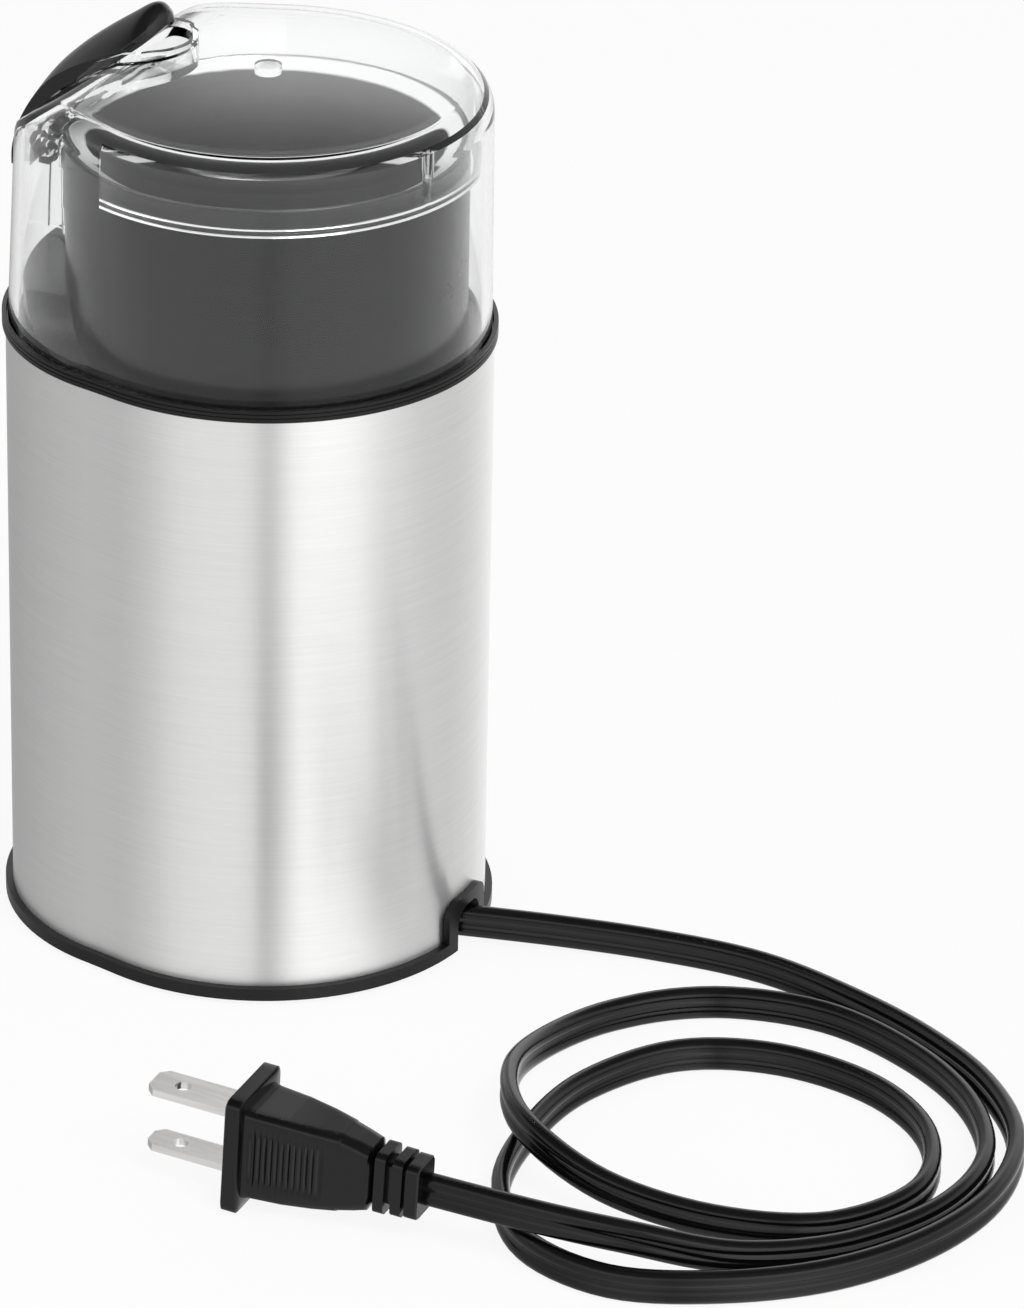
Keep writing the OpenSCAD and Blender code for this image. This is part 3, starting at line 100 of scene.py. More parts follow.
# A socket with the usual operators, so that shader maths reads as a sum
class Wire:
    def __init__(self, tree, socket):
        self.tree = tree
        self.socket = socket

    def maths(self, operation, first, second):
        node = self.tree.nodes.new("ShaderNodeMath")
        node.operation = operation
        feed(self.tree, node.inputs[0], first)
        feed(self.tree, node.inputs[1], second)
        return Wire(self.tree, node.outputs[0])

    def __add__(self, other):
        return self.maths("ADD", self, other)

    def __radd__(self, other):
        return self.maths("ADD", other, self)

    def __sub__(self, other):
        return self.maths("SUBTRACT", self, other)

    def __rsub__(self, other):
        return self.maths("SUBTRACT", other, self)

    def __mul__(self, other):
        return self.maths("MULTIPLY", self, other)

    def __rmul__(self, other):
        return self.maths("MULTIPLY", other, self)

    def __truediv__(self, other):
        return self.maths("DIVIDE", self, other)

    def __pow__(self, other):
        return self.maths("POWER", self, other)

    def over(self, low, high):
        return self.maths("DIVIDE", self - low, high - low).clamped()

    def clamped(self):
        return self.maths("MINIMUM", self.maths("MAXIMUM", self, 0.0), 1.0)


# A material or world under construction: node() adds any node with its settings, values and links.
# A key such as n2 is an input's number, and any other is its name, with underscores for spaces
class Paint:
    def __init__(self, tree):
        self.tree = tree
        tree.nodes.clear()

    def node(self, kind, settings=None, **values):
        node = self.tree.nodes.new(kind)
        for key, value in (settings or {}).items():
            if key == "stops":
                ramp = node.color_ramp
                while len(ramp.elements) < len(value):
                    ramp.elements.new(0.5)
                for element, (place, strength) in zip(ramp.elements, value):
                    element.position = place
                    element.color = even(strength)
            else:
                setattr(node, key, value)
        for key, value in values.items():
            name = int(key[1:]) if key[1:].isdigit() else key.replace("_", " ")
            feed(self.tree, node.inputs[name], value)
        return node

    def wire(self, node, output=0):
        return Wire(self.tree, node.outputs[output])

    def objectPoint(self):
        return self.wire(self.node("ShaderNodeTexCoord"), "Object")

    def noise(self, point, scale, detail=2.0, roughness=0.5, stretch=(1, 1, 1)):
        spread = self.node("ShaderNodeMapping", Vector=point, Scale=stretch)
        noise = self.node("ShaderNodeTexNoise", Vector=self.wire(spread), Scale=scale, Detail=detail,
                          Roughness=roughness)
        return self.wire(noise, "Fac")

    def mixColour(self, factor, first, second):
        node = self.node("ShaderNodeMix", {"data_type": "RGBA"}, n0=factor, n6=first, n7=second)
        return self.wire(node, 2)

    def tint(self, factor, first, second):
        ends = [end if isinstance(end, Wire) else (*end, 1) for end in (first, second)]
        return self.mixColour(factor, *ends)

    def dot(self, first, second):
        node = self.node("ShaderNodeVectorMath", {"operation": "DOT_PRODUCT"}, n0=first, n1=second)
        return self.wire(node, "Value")

    def bump(self, height, strength, distance):
        return self.wire(self.node("ShaderNodeBump", Height=height, Strength=strength, Distance=distance))

    def shader(self, **values):
        return self.wire(self.node("ShaderNodeBsdfPrincipled", **values))

    def mixShader(self, factor, first, second):
        return self.wire(self.node("ShaderNodeMixShader", n0=factor, n1=first, n2=second))

    def finish(self, shader):
        self.node("ShaderNodeOutputMaterial", Surface=shader)


def newMaterial(name):
    material = bpy.data.materials.new(name)
    material.use_nodes = True
    return material, Paint(material.node_tree)


# sRGB tone of 0 to 255 as the linear value that a shader takes
def tone(value):
    share = value / 255
    return share / 12.92 if share <= 0.04045 else ((share + 0.055) / 1.055) ** 2.4


# Warmer than neutral where warm is over zero: a little more red and a little less blue
def grey(value, warm=0.0):
    return (tone(value + warm), tone(value), tone(value - warm))


cupAxis = 4.0  # the bowl's axis along X, in mm
# Tones from 0 to 255, and how rough the metals are
finishes = {
    "steelTone": 243,
    "steelRough": 0.34,
    "bowlTone": 178,
    "bowlRough": 0.3,
    # painted shade: the bowl's wall darkens towards its foot
    "bowlPaintedShade": (140.0, 170.0, 0.35),  # heights in mm between which it darkens, and its share at the lower
    # painted highlight: the lip is painted almost white
    "lipHighlightTone": 252,
    "lipReach": (35.55, 35.75),  # distances from the axis in mm over which the wall turns into the lip
    # painted shade: the bead's outer edge is painted dark
    "edgeShadeTone": 70,
    "edgeReach": (38.3, 38.6),  # and the lip into the outer edge
    "towerTone": 12,
    "blackTone": 18,
    "cordTone": 8,
    "leverTone": 16,
}


# Moulded plastic or rubber: a fine grain in the bump, its height in metres, and soft changes of gloss
def moulded(name, shade, rough, grain=0.00002, coat=0.0, scale=1400.0, gloss=0.3):
    material, paint = newMaterial(name)
    point = paint.objectPoint()
    fine = paint.noise(point, scale, 2.0)
    broad = paint.noise(point, 60.0, 3.0)
    dark = tuple(channel * 0.9 for channel in shade)
    light = tuple(min(1.0, channel * 1.1) for channel in shade)
    paint.finish(paint.shader(
        Base_Color=paint.tint(broad, dark, light),
        Roughness=rough + 0.08 * (broad - 0.5) * 2.0,
        Coat_Weight=coat,
        Specular_IOR_Level=gloss,
        Normal=paint.bump(fine, 0.3, grain),
    ))
    return material


# Metal with fine lines: stretch sets the way they run, longest where it is smallest, and along draws its
# reflections out, a quarter turn from the usual way, so that bands of light stand upright on a shell
def brushed(name, shade, rough, stretch, lines=9.0, depth=0.00002, spread=0.12, along=0.0):
    material, paint = newMaterial(name)
    point = paint.objectPoint()
    streak = paint.noise(point, lines * 100, 3.0, 0.6, stretch)
    broad = paint.noise(point, lines * 12, 2.0, 0.5, stretch)
    both = streak * 0.8 + broad * 0.2
    dark = tuple(channel * (1 - spread) for channel in shade)
    light = tuple(min(1.0, channel * (1 + spread)) for channel in shade)
    paint.finish(paint.shader(
        Base_Color=paint.tint(both.over(0.3, 0.7), dark, light),
        Metallic=1.0,
        Anisotropic=along,
        Anisotropic_Rotation=0.25,
        Roughness=rough + 0.1 * (streak - 0.5),
        Normal=paint.bump(streak, 0.35, depth),
    ))
    return material


# Metal turned about the bowl's axis: the lines follow the distance from that axis and the height. A bowl
# gets painted shade towards its foot, a painted highlight on its lip and painted shade on its outer edge, at
# their distances from the axis
def turned(name, shade, rough, bowl=None, spread=0.1):
    material, paint = newMaterial(name)
    split = paint.node("ShaderNodeSeparateXYZ", Vector=paint.objectPoint())
    acrossX = paint.wire(split, 0) - cupAxis * mm
    acrossY = paint.wire(split, 1)
    reach = (acrossX * acrossX + acrossY * acrossY) ** 0.5
    height = paint.wire(split, 2)
    place = paint.wire(paint.node("ShaderNodeCombineXYZ", X=reach, Y=height, Z=0.0))
    streak = paint.noise(place, 2200.0, 3.0, 0.6)
    broad = paint.noise(place, 160.0, 2.0)
    both = streak * 0.6 + broad * 0.4
    dark = tuple(channel * (1 - spread) for channel in shade)
    light = tuple(min(1.0, channel * (1 + spread)) for channel in shade)
    colour = paint.tint(both.over(0.3, 0.7), dark, light)
    if bowl:
        # Painted shade: the wall darkens towards the bowl's foot
        low, high, share = bowl["bowlPaintedShade"]
        deep = tuple(channel * share for channel in shade)
        colour = paint.tint(height.over(low * mm, high * mm), deep, colour)
        # Painted highlight: the lip is painted almost white
        lipFrom, lipTo = bowl["lipReach"]
        colour = paint.tint(reach.over(lipFrom * mm, lipTo * mm), colour, grey(bowl["lipHighlightTone"]))
        # Painted shade: the bead's outer edge is painted dark
        edgeFrom, edgeTo = bowl["edgeReach"]
        colour = paint.tint(reach.over(edgeFrom * mm, edgeTo * mm), colour, grey(bowl["edgeShadeTone"]))
    paint.finish(paint.shader(
        Base_Color=colour,
        Metallic=1.0,
        Roughness=rough + 0.1 * (streak - 0.5),
        Normal=paint.bump(streak, 0.3, 0.00002),
    ))
    return material


# Clear plastic: light that falls through it passes as if it were air, so that it casts no dark shadow.
# Its tint halves what its faces reflect, so that what is behind them stays dark
def clearPlastic(name):
    material, paint = newMaterial(name)
    point = paint.objectPoint()
    haze = paint.noise(point, 35.0, 3.0)
    body = paint.shader(
        Base_Color=paint.tint(haze, (0.97, 0.975, 0.975), (0.99, 0.995, 0.99)),
        Roughness=0.015 + 0.02 * haze,
        Specular_Tint=even(0.5),
        IOR=1.49,
        Transmission_Weight=1.0,
        Normal=paint.bump(haze, 0.06, 0.0003),
    )
    clear = paint.wire(paint.node("ShaderNodeBsdfTransparent"))
    rays = paint.node("ShaderNodeLightPath")
    shadow, diffuse = paint.wire(rays, "Is Shadow Ray"), paint.wire(rays, "Is Diffuse Ray")
    paint.finish(paint.mixShader(shadow.maths("MAXIMUM", shadow, diffuse), body, clear))
    return material


materials = {
    "brushed_steel": brushed("brushedSteel", grey(finishes["steelTone"], 0.5), finishes["steelRough"],
                             (0.02, 0.02, 1), lines=36.0, depth=0.000004, spread=0.04, along=0.9),
    "black_plastic": moulded("blackPlastic", grey(finishes["blackTone"]), 0.34),
    "black_rubber": moulded("blackRubber", grey(30), 0.75, grain=0.00008),
    "bright_steel": brushed("brightSteel", grey(205), 0.2, (1, 1, 0.1)),
    "grey_plastic": moulded("greyPlastic", grey(finishes["towerTone"]), 0.24, grain=0.000002, gloss=0.45),
    "bowl_steel": turned("bowlSteel", grey(finishes["bowlTone"]), finishes["bowlRough"], finishes),
    "lamination_steel": brushed("laminationSteel", grey(120), 0.5, (0.05, 0.05, 1), lines=12.0),
    "copper_wire": moulded("copperWire", (0.37, 0.08, 0.025), 0.35, grain=0.0002, coat=0.3, scale=900.0),
    "copper_bars": turned("copperBars", (0.5, 0.18, 0.06), 0.3),
    "dark_nylon": moulded("darkNylon", grey(48), 0.42),
    "cast_aluminium": moulded("castAluminium", grey(150), 0.55, grain=0.0001),
    "brass_sheet": brushed("brassSheet", (0.35, 0.2, 0.06), 0.35, (0.1, 1, 1)),
    "carbon": moulded("carbon", grey(44), 0.6, grain=0.0001),
    "white_plastic": moulded("whitePlastic", grey(215, 3), 0.4),
    "clear_plastic": clearPlastic("clearPlastic"),
    "gloss_black": moulded("glossBlack", grey(finishes["leverTone"]), 0.2, coat=0.2),
    "cord_black": moulded("cordBlack", grey(finishes["cordTone"]), 0.18, grain=0.00001, gloss=0.36),
    "lead_sleeve": moulded("leadSleeve", (0.55, 0.45, 0.25), 0.5),
    "plated_brass": brushed("platedBrass", grey(236, 2), 0.3, (0.05, 1, 1), lines=7.0),
}
for entry in frame["record"]["subparts"]:
    mesh = frame["nodes"][entry["node"]].data
    mesh.materials.clear()
    mesh.materials.append(materials[entry["material_slot"]])
print("materials:", len(materials))


# Smooth shading with sharp edges where two faces meet at more than the angle
def smoothen(piece, angle):
    piece.data.polygons.foreach_set("use_smooth", [True] * len(piece.data.polygons))
    piece.data.set_sharp_from_angle(angle=math.radians(angle))


# Bevel on the edges where two faces meet at more than the angle
def roundEdges(piece, width, angle=35):
    bevel = piece.modifiers.new("softEdges", "BEVEL")
    bevel.width = width * mm
    bevel.segments = 2
    bevel.limit_method = "ANGLE"
    bevel.angle_limit = math.radians(angle)


# Solid over rings of points: four-sided faces between each ring and the next, closed round the ring, and one
# face over each end. They point outwards where the rings run anticlockwise as seen from the last one
def ringSolid(name, rings):
    count, around = rings.shape[:2]
    numbers = np.arange(count * around).reshape(count, around)
    beside = np.roll(numbers, -1, axis=1)
    sides = np.stack([numbers[:-1], beside[:-1], beside[1:], numbers[1:]], axis=-1).reshape(-1, 4)
    mesh = bpy.data.meshes.new(name)
    mesh.from_pydata(rings.reshape(-1, 3).tolist(), [],
                     sides.tolist() + [numbers[0, ::-1].tolist(), numbers[-1].tolist()])
    solid = bpy.data.objects.new(name, mesh)
    bpy.context.scene.collection.objects.link(solid)
    return solid


# Piece over rings of points in mm
def addPiece(name, rings, slotName, body, replaced=(), smooth=40):
    piece = ringSolid(name, rings * mm)
    piece.data.validate()
    piece.data.materials.append(materials[slotName])
    smoothen(piece, smooth)
    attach(piece, body)
    if replaced:
        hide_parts(*replaced)
    return piece


# Rings of an outline in the XZ plane carried along Y, or of one in the XY plane carried along Z
def prismRings(outline, low, high, upright=False):
    order = [0, 1, 2] if upright else [0, 2, 1]
    ends = [np.column_stack([outline, np.full(len(outline), place)])[:, order] for place in (low, high)]
    return np.stack(ends)


# Rectangle between two ends and two heights
def boxOutline(ends, heights):
    return [(ends[0], heights[0]), (ends[1], heights[0]), (ends[1], heights[1]), (ends[0], heights[1])]


# Circle, or a part of it between two angles in degrees
def discOutline(centre, radius, around, start=0.0, end=360.0):
    turn = np.radians(np.linspace(start, end, around, endpoint=end - start < 360))
    return np.stack([centre[0] + radius * np.cos(turn), centre[1] + radius * np.sin(turn)], axis=1)


# Smooth curve through points: each value moves along cubic pieces whose slope at a point is that between
# its two neighbours
def smoothCurve(points, steps):
    line = np.asarray(points, float)
    padded = np.vstack([line[:1], line, line[-1:]])
    share = (np.arange(steps) / steps)[None, :, None]
    a, b, c, d = (padded[k:k + len(line) - 1, None, :] for k in range(4))
    curve = (2 * b + (c - a) * share + (2 * a - 5 * b + 4 * c - d) * share ** 2
             + (3 * b - a - 3 * c + d) * share ** 3) / 2
    return np.vstack([curve.reshape(-1, line.shape[1]), line[-1:]])


# Cord: a flat twin cord on its edge, along the route that the CAD follows
cordSettings = {
    "height": 7.0,
    "thick": 3.6,
    "web": 1.1,  # half thickness in the groove between the two conductors
    "lobeArc": (-36, 216),  # degrees
    "lobeSteps": 13,
    "steps": 7,
    "exit": (47.0, 0.0, 5.2),
    "plugTurn": 2.0,  # degrees about the vertical
    "plugTilt": 3.0,  # degrees over the level
}
# From the outlet at the body's foot to the plug's end
cordRoute = [
    cordSettings["exit"], (68, 7, 4.2), (89, 12, 3.5), (111, 13, 3.5), (132, 8, 3.5),
    (152, 0, 3.5), (170, -12, 3.5), (183, -29, 3.5), (187, -50, 3.5), (182.5, -71, 3.5),
    (171, -90, 3.5), (154, -104, 3.5), (134, -112, 3.5), (114, -107, 3.5), (101, -90, 3.5),
    (97, -68, 3.5), (99, -47, 3.5), (110, -28, 3.5), (129, -20, 3.5), (151, -23, 3.5),
    (167.5, -36, 3.5), (173.5, -56, 3.5), (163.5, -75, 3.5), (143, -84, 4.2), (121, -86.5, 7.4),
    (101, -79, 11.1), (89, -61, 9.4), (85.5, -40, 5.4), (92, -19, 3.6), (108, -4.5, 3.5),
    (130, 0, 3.5), (152, -7, 3.5), (170, -20.5, 3.5), (180.5, -39, 3.5), (180, -60, 3.5),
    (169.5, -80, 3.5), (153, -95.5, 5.2), (134, -105.6, 9.9), (116, -109, 11.4), (93.6, -107.7, 10.535),
]


# Vectors scaled to a length of one
def unit(vectors):
    return vectors / np.linalg.norm(vectors, axis=-1, keepdims=True)


# Section of the cord: two round lobes, one over the other, with a shallow web between them. The lower
# half is the upper one turned half a turn
def cordSection(settings):
    radius = settings["thick"] / 2
    rise = (settings["height"] - settings["thick"]) / 2
    turn = np.radians(np.linspace(*settings["lobeArc"], settings["lobeSteps"]))
    lobe = np.stack([radius * np.cos(turn), rise + radius * np.sin(turn)], axis=1)
    web = np.array([[-settings["web"], 0.0]])
    half = np.vstack([lobe, web])
    return np.vstack([half, -half])


# The section is carried along a smooth curve through the route, upright and square to the curve. It never
# sinks under the floor, and its two ends look along the outlet and along the plug
def addCord(settings, route):
    line = smoothCurve(route, settings["steps"])
    line[:, 2] = np.maximum(line[:, 2], settings["height"] / 2)
    way = np.gradient(line, axis=0)
    turn, tilt = math.radians(settings["plugTurn"]), math.radians(settings["plugTilt"])
    way[0] = (1, 0, 0)
    way[-1] = (-math.cos(turn) * math.cos(tilt), -math.sin(turn) * math.cos(tilt), math.sin(tilt))
    way = unit(way)
    side = unit(np.cross([0.0, 0.0, 1.0], way))
    rise = np.cross(way, side)
    section = cordSection(settings)
    rings = line[:, None] + section[:, :1] * side[:, None] + section[:, 1:] * rise[:, None]
    piece = addPiece("flatCord", rings, "cord_black", "housing", ["power_cord"], 60)
    length = float(np.linalg.norm(np.diff(line, axis=0), axis=1).sum())
    return piece, line, length


cordPiece, cordLine, cordLength = addCord(cordSettings, cordRoute)
print("cord made, length in mm:", round(cordLength, 1))


# Plug: its axis runs from the blades to the cord, whose last point and direction it takes
plugSettings = {
    "turn": cordSettings["plugTurn"],
    "tilt": cordSettings["plugTilt"],
    "end": cordRoute[-1],
    "length": 51.2,
    "ribStart": 18.0,
    "ribEnd": 31.0,
    "ribCount": 11,
    "ribHigh": 11.0,
    "ribRound": 0.6,  # under one, the ribs have broad tops and narrow grooves
    "panelDepth": 0.5,
    "panelMargin": 0.6,
    "panelSharp": 4.0,  # how fast the panel's edge falls, for each mm
    "ribDepth": 0.4,
    "bodySteps": (16.2, 34.4, 120),
    "neckSteps": (35, 40.4, 12),
    "perSide": 10,
    "perCorner": 5,
}
# Each section: place along the axis, width, height and corner radius
plugSections = [
    (12.6, 17.6, 23.8, 1.6), (12.9, 18.6, 24.8, 2.0), (15.7, 18.6, 24.8, 2.0), (16.0, 17.6, 23.8, 1.6),
    (16.05, 14.6, 19.6, 1.6), (17.5, 14.0, 19.0, 1.5), (24.0, 13.0, 18.6, 1.6), (30.0, 11.4, 17.8, 1.8),
    (34.6, 9.6, 17.0, 2.0), (34.9, 9.4, 16.6, 2.0), (38.0, 9.0, 15.2, 2.2), (40.6, 8.6, 13.6, 2.2),
    (41.1, 7.0, 11.4, 2.0), (42.0, 5.6, 9.0, 1.0), (42.05, 8.0, 13.1, 1.6), (44.2, 8.0, 13.1, 1.6),
    (44.25, 5.6, 9.0, 1.0), (45.6, 5.6, 9.0, 1.0), (45.65, 8.0, 12.3, 1.6), (47.8, 8.0, 12.3, 1.6),
    (47.85, 5.6, 9.0, 1.0), (48.5, 5.6, 9.0, 1.0), (48.55, 8.0, 11.6, 1.6), (50.9, 8.0, 11.6, 1.6),
    (51.2, 7.4, 11.0, 1.4),
]


# Rounded rectangles with quarter-circle corners, one for each width, height and corner radius. Every side
# and every corner has the same number of points
def roundedBoxes(width, height, corner, perSide, perCorner):
    corner = corner[:, None, None]
    middle = np.stack([width, height], axis=-1)[:, None] / 2 - corner
    arcs = []
    for quarter, signs in enumerate(((1, 1), (-1, 1), (-1, -1), (1, -1))):
        turn = np.radians(np.linspace(0, 90, perCorner) + 90 * quarter)
        arcs.append(middle * signs + corner * np.stack([np.cos(turn), np.sin(turn)], axis=1))
    share = np.arange(1, perSide)[:, None] / perSide
    filled = []
    for arc, after in zip(arcs, arcs[1:] + arcs[:1]):
        filled += [arc, arc[:, -1:] + (after[:, :1] - arc[:, -1:]) * share]
    return np.concatenate(filled, axis=1)


# Points about the plug's own axes turned and moved into their place
def placePlug(points, settings):
    turn, tilt = math.radians(settings["turn"]), math.radians(settings["tilt"])
    tilted = np.array([[math.cos(tilt), 0, math.sin(tilt)], [0, 1, 0], [-math.sin(tilt), 0, math.cos(tilt)]])
    swung = np.array([[math.cos(turn), -math.sin(turn), 0], [math.sin(turn), math.cos(turn), 0], [0, 0, 1]])
    start = points - [settings["length"], 0, 0]
    return start @ tilted.T @ swung.T + settings["end"]


# One where the argument is well over zero, none where it is well under, and a smooth step between
def softStep(distance):
    return 1 / (1 + np.exp(-distance))


# The sections are joined along the axis. In a panel on both flat sides the surface sinks, and there a
# cosine along the axis lifts the ribs again
def addPlug(settings, sections):
    table = np.array(sections)
    steps = [np.linspace(*settings["bodySteps"]), np.linspace(*settings["neckSteps"])]
    places = np.unique(np.concatenate([table[:, 0]] + steps))
    width, height, corner = (np.interp(places, table[:, 0], table[:, k]) for k in (1, 2, 3))
    outline = roundedBoxes(width, height, corner, settings["perSide"], settings["perCorner"])
    across, high = outline[..., 0], outline[..., 1]
    along = places[:, None]
    first, last, sharp = settings["ribStart"], settings["ribEnd"], settings["panelSharp"]
    inPanel = softStep(sharp * (along - first + settings["panelMargin"])) \
        * softStep(sharp * (last + settings["panelMargin"] - along)) \
        * softStep(sharp * (settings["ribHigh"] / 2 - np.abs(high)))
    pitch = (last - first) / settings["ribCount"]
    wave = (1 + np.cos(2 * np.pi * (along - first - pitch / 2) / pitch)) / 2
    rib = wave ** settings["ribRound"] * ((along > first) & (along < last))
    sink = inPanel * (settings["panelDepth"] - settings["ribDepth"] * rib)
    onSide = np.isclose(np.abs(across), width[:, None] / 2)
    across = across - np.sign(across) * sink * onSide
    rings = placePlug(np.stack([along + 0 * across, across, high], axis=-1), settings)
    return addPiece("plugShell", rings, "cord_black", "housing", ["plug_body"], 35)


plugPiece = addPlug(plugSettings, plugSections)
print("plug made")


# Lever: a crowned plate in sections from tip to tail, with the barrel round its pin and its finger
leverSettings = {
    "half": 9.5,  # of the plate's width
    "pin": (-45.9, 161.5),  # x and z of its axis
    "barrelRadius": 2.0,
    "barrelHalf": 5.0,
    "barrelSteps": 32,
    "fingerX": (-40.8, -38.4),
    "fingerHalf": 2.5,
    "fingerZ": (163.6, 174.1),
    "fingerEdge": 0.3,
    "steps": 6,
    "across": 17,
    "edge": 0.35,
}
# Each row: half width, lower edge x and z, top of the side x and z, crown x and z
leverSections = [
    (1.5, -17.6, 189.6, -18.0, 190.8, -18.2, 192.0), (4.2, -18.7, 188.3, -19.3, 190.2, -19.9, 193.3),
    (7, -20.7, 186.3, -21.0, 188.4, -22.2, 192.7), (8.8, -23.8, 183.9, -23.8, 185.9, -25.3, 190.6),
    (9.5, -27.4, 181.2, -27.6, 183.7, -29.6, 187.6), (9.5, -31.3, 179.0, -31.7, 181.8, -33.6, 184.6),
    (9.5, -34.9, 176.6, -35.7, 179.6, -37.2, 181.6), (9.5, -39.1, 173.4, -40.2, 176.3, -41.2, 177.6),
    (9.5, -42.6, 168.9, -44.0, 171.6, -44.6, 172.6), (9.5, -45.7, 164.2, -47.0, 166.0, -47.4, 166.4),
    (9.5, -47.2, 160.3, -48.4, 161.0, -48.6, 161.1), (9.5, -48.0, 157.0, -48.6, 157.1, -48.8, 157.2),
]


# The plate's rings: a flat underside, straight sides, and a top whose rise falls with the square of the
# distance from the middle
def leverRings(settings, sections):
    curve = smoothCurve(sections, settings["steps"])
    across = np.linspace(-1, 1, settings["across"])
    half = np.minimum(curve[:, :1], settings["half"])
    rise = 1 - across[None, :] ** 2
    topX = curve[:, 3:4] + (curve[:, 5:6] - curve[:, 3:4]) * rise
    topZ = curve[:, 4:5] + (curve[:, 6:7] - curve[:, 4:5]) * rise
    top = np.stack([topX, half * across[None, :], topZ], axis=-1)
    back = across[::-1][None, :]
    below = np.stack([curve[:, 1:2] + 0 * back, half * back, curve[:, 2:3] + 0 * back], axis=-1)
    return np.concatenate([top, below], axis=1)


# The barrel's circle is carried from its far end to its near one, so that its faces point outwards
def addLever(settings, sections):
    rings = leverRings(settings, sections)
    plate = addPiece("leverPlate", rings, "gloss_black", "lever", ["push_lever"], 35)
    roundEdges(plate, settings["edge"])
    circle = discOutline(settings["pin"], settings["barrelRadius"], settings["barrelSteps"])
    barrel = prismRings(circle, settings["barrelHalf"], -settings["barrelHalf"])
    addPiece("leverBarrel", barrel, "gloss_black", "lever")
    outline = boxOutline(settings["fingerX"], (-settings["fingerHalf"], settings["fingerHalf"]))
    rings = prismRings(outline, *settings["fingerZ"], upright=True)
    finger = addPiece("leverFinger", rings, "gloss_black", "lever")
    roundEdges(finger, settings["fingerEdge"])


addLever(leverSettings, leverSections)
print("lever made")


# Lid: one moulded shell, whose wall and crown run round the two ends of the body's outline. Sizes and places
# in mm, and angles in degrees
lidSettings = {
    "cupX": cupAxis, "cupEnd": 44.9, "cupLean": 0.3,  # the end round the bowl: axis, radius and lean
    "leverX": -6.2, "leverEnd": 42.7, "leverLean": 2.0,  # the end under the lever
    "foot": 129.9, "shoulder": 175.7, "corner": 6.3, "crown": 3.5,
    "wall": 2.0,
    "edge": 0.35, "edgeAngle": 40, "smooth": 32,
    "around": 180, "wallSteps": 24, "cornerSteps": 16, "crownSteps": 34,
    "crownEnd": 0.015,  # where the crown's last ring stands, as a share of its reach
    "slopeBlend": 1.0,  # how softly the slope under the lever runs into the crown
    "blendReach": 4.0,  # and how far under the slope that is felt, as a multiple
    "slopeInset": (0.8, -0.7),  # how far the slope moves along X and up for each mm of wall
    # The raised rim round the well's end
    "rimBack": -33.0, "rimHalf": 13.0, "rimFoot": 170.0,
    # The well that the lever lies in, and its narrow part under the lever's tail
    "wellHalf": 10.2, "wellEnd": -14.0, "wellWall": 1.2, "wellFoot": 163.5, "wellBack": -74.0,
    "wellLip": 2.0, "wellSteps": 37,
    "wellArc": (-90.0, 90.001),  # the second a hair past a quarter turn
    "tailHalf": 5.3, "tailFoot": 158.3, "tailInner": -43.6,
    # The skirt inside the lid and the bead along its lower edge
    "cuffInner": 41.45, "cuffOuter": 42.1, "cuffFoot": 166.0, "cuffAngle": 112, "cuffRound": 0.95,
    "cuffSteps": 120, "beadDepth": 0.85, "beadHigh": 1.0, "beadSteps": 7,
    # The tube that guides the rod, its bore, the web that holds it to the wall, and the slot over it
    "rodX": -39.6, "guideFoot": 141.0, "guideTop": 160.0, "guideOuter": 3.0, "guideBore": 1.8,
    "guideSteps": 40, "boreSteps": 32,
    "webX": (-54.0, -42.0), "webHalf": 0.6,
    "slotX": (-41.3, -36.6), "slotZ": (160.2, 181.2), "slotHalf": 2.8,
    # The small round mark under the crown
    "markPlace": (cupAxis, 0.0), "markRadius": 2.7, "markFoot": 181.9, "markSteps": 40,
    "spare": 1.0,  # how far a cutting solid runs past the face that it opens
    "overLid": 200.0, "overWell": 230.0,  # heights above the lid where cutting solids end
}
lidSlope = [(-48.3, 152.0), (-47.3, 157.0), (-46.5, 160.2), (-45.1, 164.2), (-42.2, 169.0), (-38.9, 173.4),
            (-34.6, 176.8), (-31.1, 179.3), (-27.3, 181.9), (-23.6, 184.6), (-16.0, 189.5), (60.0, 240.0)]
wellFloor = [(-24.5, 178.4), (-29.5, 176.4), (-37.3, 172.2), (-41.0, 167.6), (-43.3, 163.6)]
rimOutline = [(-11.9, 186.2), (-17.6, 186.4), (-22.5, 185.8), (-28.1, 183.2), (-33.0, 178.6), (-33.0, 176.5),
              (-28.1, 180.9), (-11.9, 182.0)]


# Rings round two circles and their common tangents: for each direction the point that lies furthest that way
def outlineRings(cupRadius, leverRadius, heights, settings):
    turn = np.linspace(0, 2 * np.pi, settings["around"], endpoint=False)[None, :]
    cup, lever, height = (column[:, None] for column in (cupRadius, leverRadius, heights))
    gap = settings["cupX"] - settings["leverX"]
    onCup = np.cos(turn) * gap + cup - lever >= 0
    x = np.where(onCup, settings["cupX"] + cup * np.cos(turn), settings["leverX"] + lever * np.cos(turn))
    y = np.where(onCup, cup, lever) * np.sin(turn)
    return np.stack([x, y, height + 0 * turn], axis=-1)


